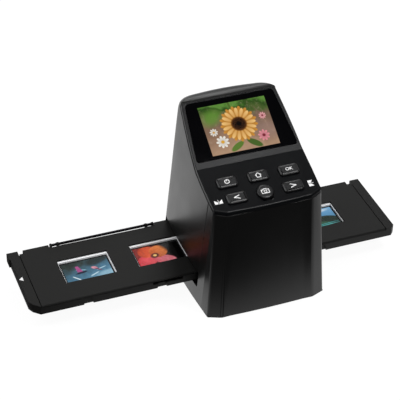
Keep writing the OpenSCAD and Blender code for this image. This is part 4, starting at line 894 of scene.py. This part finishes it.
class SCANNER_OT_housing(bpy.types.Operator):
    """Round the edges of the shell, and give it, the covers and the feet their finish"""

    bl_idname = "scanner.housing"
    bl_label = "Housing"

    def execute(self, context):
        look = context.scene.scanner_housing
        low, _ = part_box("main_shell")
        form = merged("main_shell")
        chamfers = sharp_edges(form, 15, lambda edge: self.is_corner(edge, low))
        soften(form, look.corner_radius, chamfers, segments=4)
        soften(form, look.edge_radius, sharp_edges(form, 30, lambda edge: self.is_open(edge, low, look)))
        shell = piece("shell_moulding", form, "housing", shell_finish(), smooth=32)
        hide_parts("main_shell")
        finish_nodes(shell_finish(), "rear_cover", "bottom_cover")
        finish_nodes(rubber_finish(), "rubber_feet")
        finish_nodes(steel_finish(), "case_screws")
        return {"FINISHED"}

    @staticmethod
    def is_corner(edge, low):
        """The upright edges of the two front corner chamfers."""
        way = (edge.verts[1].co - edge.verts[0].co).normalized()
        at_front = edge_middle(edge).y < low.y + FRONT_DEPTH
        return abs(way.z) > 0.9 and edge.calc_length() > CORNER_LENGTH and at_front

    @staticmethod
    def is_open(edge, low, look):
        """Edges long enough to round that don't lie along the seam with the face panel."""
        middle = edge_middle(edge)
        at_seam = middle.y < low.y + FRONT_DEPTH and middle.z > look.seam_height
        return edge.calc_length() > 3 * look.edge_radius and not at_seam


class SCANNER_OT_face(bpy.types.Operator):
    """Finish the face panel with its soft bend and its two printed signs"""

    bl_idname = "scanner.face"
    bl_label = "Face panel"

    def execute(self, context):
        housing = context.scene.scanner_housing
        keys = context.scene.scanner_keys
        form = merged("face_panel")
        front = min(p.y for p in corners("face_panel"))
        ridge = sharp_edges(form, 15, lambda edge: self.is_ridge(edge, front))
        soften(form, housing.ridge_radius, ridge, segments=4)
        soften(form, housing.edge_radius, sharp_edges(form, BEND_ANGLES[0], self.is_bend))
        open_edges = sharp_edges(form, 28, lambda edge: edge.calc_length() > 3 * housing.edge_radius
                                 and min(v.co.y for v in edge.verts) > front + SEAM_DEPTH)
        soften(form, housing.edge_radius, open_edges)
        moulding = piece("face_moulding", form, "housing", panel_finish(), smooth=35)
        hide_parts("face_panel")
        lift = Matrix.Translation((0, 0, -keys.key_proud))
        for name, node, shift, shapes in SIGNS:
            place = face_frame(node, press_axis()) @ lift @ Matrix.Translation(shift)
            form = bmesh.new()
            for points in shapes:
                add_polygon(form, points)
            piece(name, printed(form, place, keys.ink), "housing", mark_finish())
        return {"FINISHED"}

    @staticmethod
    def is_ridge(edge, front):
        """The panel's front upper edge, where the keypad's slope meets the front."""
        facing = sorted(face.normal.z for face in edge.link_faces)
        return edge_middle(edge).y < front + RIDGE_DEPTH and facing[0] < 0.3 and facing[1] > 0.9

    @staticmethod
    def is_bend(edge):
        """The long shallow bend between the keypad and the display."""
        return edge.calc_length() > BEND_LENGTH and edge.calc_face_angle(0) < math.radians(BEND_ANGLES[1])


class SCANNER_OT_display(bpy.types.Operator):
    """Black out the glass round its lit picture, and finish what lies behind it"""

    bl_idname = "scanner.display"
    bl_label = "Display"

    def execute(self, context):
        look = context.scene.scanner_picture
        form = merged("display_glass")
        soften(form, look.glass_radius, sharp_edges(form, 40), clamp=True)
        glass = piece("picture_glass", form, "housing", self.glass_finish(look), smooth=30)
        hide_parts("display_glass")
        finish_nodes(plain_part_finish("display_film", "5a6a55", 0.35), "lcd_panel")
        finish_nodes(steel_finish(), "lcd_frame", "panel_screws")
        finish_nodes(plain_part_finish("amber_ribbon", "b8762a", 0.35), "lcd_ribbon")
        return {"FINISHED"}

    @staticmethod
    def glass_finish(look):
        """Black glass that shows the picture on its outer face."""
        out = glass_out()
        up = up_slope(out)
        spots = corners("display_glass")
        middle_x = middle_along(spots, ACROSS)
        middle_up = min(p.dot(up) for p in spots) + look.rise + look.height / 2
        surface = Surface("lit_display_glass")
        place = surface.place()
        across = surface.dot(place, (1 / MM, 0, 0)) - middle_x / MM
        rise = surface.dot(place, up / MM) - middle_up / MM
        depth = max(p.dot(out) for p in spots) / MM - surface.dot(place, out / MM)
        lit = surface.window(across, rise, look.width / MM / 2, look.height / MM / 2, 8.0)
        lit = lit * surface.math("LESS_THAN", depth, FACE_DEPTH)
        picture = garden_picture(surface, place, across, rise)
        smear = surface.noise(place, 0.02)
        dark = surface.mix(smear, look.glass_colour, scaled(look.glass_colour, 1.4))
        return surface.finish(
            Base_Color=dark, Roughness=surface.clamp(smear * 0.06 + 0.05), Specular_IOR_Level=0.06,
            Emission_Color=surface.mix(lit, (0, 0, 0), picture), Emission_Strength=look.glow)


class SCANNER_OT_keys(bpy.types.Operator):
    """Finish the six keys and print their symbols"""

    bl_idname = "scanner.keys"
    bl_label = "Keys"

    def execute(self, context):
        look = context.scene.scanner_keys
        for key in KEYS:
            node = key + "_key"
            self.add_cap(node, key, look.edge_radius)
            if key == "ok":
                form = text_form("OK", look.letter_size)
            else:
                form = bmesh.new()
                key_marks(form, key, look.stroke)
            place = face_frame(node, press_axis())
            piece(key + "_mark", printed(form, place, look.ink), key, mark_finish())
        plungers = [key + "_plunger" for key in KEYS]
        finish_nodes(plain_part_finish("plunger_plastic", "3a3a3c", 0.45), *plungers)
        return {"FINISHED"}

    @staticmethod
    def add_cap(node, key, radius):
        """A key cap whose upper edge is rounded all the way round."""
        out = press_axis()
        form = merged(node)
        top = max(vertex.co.dot(out) for vertex in form.verts)
        rim = sharp_edges(form, 40, lambda edge: all(v.co.dot(out) > top - RIM_DEPTH for v in edge.verts))
        soften(form, radius, rim, segments=4)
        cap = piece(key + "_cap", form, key, key_finish(), smooth=40)
        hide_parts(node)


class SCANNER_OT_holder(bpy.types.Operator):
    """Finish the film holder, its lid and its hinge pins, and print the arrow"""

    bl_idname = "scanner.holder"
    bl_label = "Film holder"

    def execute(self, context):
        look = context.scene.scanner_holder
        ink = context.scene.scanner_keys.ink
        for node, name in (("holder_base", "holder_tray"), ("holder_lid", "holder_cover")):
            dressed_copy(node, name, "holder", holder_finish(), look.edge_radius)
        finish_nodes(metal_finish("blackened_steel", "1b1b1d", 0.35, (0.2, 1.0, 1.0)), "hinge_pins")
        low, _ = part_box("holder_base")
        top = max(p.z for p in corners("holder_base") if p.x < low.x + END_WIDTH)
        length, half_width = look.arrow_length / MM, look.arrow_width / 2 / MM
        form = bmesh.new()
        add_polygon(form, ((0, 0), (length, -half_width), (length, half_width)))
        place = Matrix.Translation((low.x + ARROW_PLACE[0], low.y + ARROW_PLACE[1], top))
        piece("arrow_mark", printed(form, place, ink), "holder", mark_finish())
        return {"FINISHED"}


class SCANNER_OT_slides(bpy.types.Operator):
    """Finish the four slide mounts and paint their films"""

    bl_idname = "scanner.slides"
    bl_label = "Slides"

    def execute(self, context):
        look = context.scene.scanner_holder
        scenes = (sea_slide, poppy_slide, dune_slide, lake_slide)
        for number, paint in enumerate(scenes, 1):
            mount, film = f"slide_mount_{number}", f"film_{number}"
            form = merged(mount)
            edges = sharp_edges(form, 40, lambda edge: edge.calc_length() > LEAST_EDGE)
            soften(form, look.mount_radius, edges)
            made = piece(f"slide_frame_{number}", form, "holder", mount_finish(), smooth=35)
            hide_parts(mount)
            finish_nodes(self.film_finish(film, paint), film)
        return {"FINISHED"}

    @staticmethod
    def film_finish(film, paint):
        """Glossy film with its picture inside a dark border."""
        low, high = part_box(film)
        surface = Surface(film + "_picture")
        place = surface.place()
        across = surface.dot(place, (1 / MM, 0, 0)) - (low.x + high.x) / 2 / MM
        up = surface.dot(place, (0, 1 / MM, 0)) - (low.y + high.y) / 2 / MM
        picture = paint(surface, place, across, up)
        half_width = (high.x - low.x) / 2 / MM - FILM_BORDER
        half_height = (high.y - low.y) / 2 / MM - FILM_BORDER
        inside = surface.window(across, up, half_width, half_height, 5.0)
        base = surface.mix(inside, (0.006, 0.006, 0.007), picture)
        return surface.finish(Base_Color=base, Roughness=0.18, Specular_IOR_Level=0.3)


class SCANNER_OT_inside(bpy.types.Operator):
    """Finish the boards, the optics, the light box and the sockets inside the housing"""

    bl_idname = "scanner.inside"
    bl_label = "Inside"

    def execute(self, context):
        finish_nodes(board_finish(), "keypad_board", "main_board", "sensor_board")
        finish_nodes(plain_part_finish("chip_black", "1d1d1f", 0.5),
                     "board_chips", "key_switches", "image_sensor", "video_jack")
        finish_nodes(steel_finish(),
                     "board_screws", "optics_screws", "spring_screw",
                     "card_socket", "usb_port", "click_spring")
        finish_nodes(inner_finish(), "optics_tower", "light_box", "lens_barrel")
        finish_nodes(lens_finish(), "front_lens", "rear_lens")
        finish_nodes(plain_part_finish("opal_white", "eeeeea", 0.5), "diffuser", "lamp_board")
        finish_nodes(lamp_finish(), "lamps")
        return {"FINISHED"}


STEPS = (SCANNER_OT_stage, SCANNER_OT_housing, SCANNER_OT_face, SCANNER_OT_display, SCANNER_OT_keys,
         SCANNER_OT_holder, SCANNER_OT_slides, SCANNER_OT_inside)
LOOKS = {
    "scanner_housing": ScannerHousingLook,
    "scanner_keys": ScannerKeyLook,
    "scanner_holder": ScannerHolderLook,
    "scanner_picture": ScannerPictureLook,
    "scanner_stage": ScannerStageLook,
}


class SCANNER_PT_build(bpy.types.Panel):
    """Lists the steps that dress the scanner, with their sizes and colours"""

    bl_label = "Scanner"
    bl_idname = "SCANNER_PT_build"
    bl_space_type = "VIEW_3D"
    bl_region_type = "UI"
    bl_category = "Scanner"

    def draw(self, context):
        for step in STEPS:
            self.layout.operator(step.bl_idname)
        for name, group in LOOKS.items():
            box = self.layout.box()
            for key in group.__annotations__:
                box.prop(getattr(context.scene, name), key)


def register():
    for group in LOOKS.values():
        bpy.utils.register_class(group)
    for name, group in LOOKS.items():
        setattr(bpy.types.Scene, name, PointerProperty(type=group))
    for step in STEPS:
        bpy.utils.register_class(step)
    bpy.utils.register_class(SCANNER_PT_build)


def unregister():
    bpy.utils.unregister_class(SCANNER_PT_build)
    for step in reversed(STEPS):
        bpy.utils.unregister_class(step)
    for name in LOOKS:
        delattr(bpy.types.Scene, name)
    for group in reversed(list(LOOKS.values())):
        bpy.utils.unregister_class(group)


def main():
    register()
    bpy.ops.scanner.stage()
    bpy.ops.scanner.housing()
    bpy.ops.scanner.face()
    bpy.ops.scanner.display()
    bpy.ops.scanner.keys()
    bpy.ops.scanner.holder()
    bpy.ops.scanner.slides()
    bpy.ops.scanner.inside()


if __name__ == "__main__":
    main()
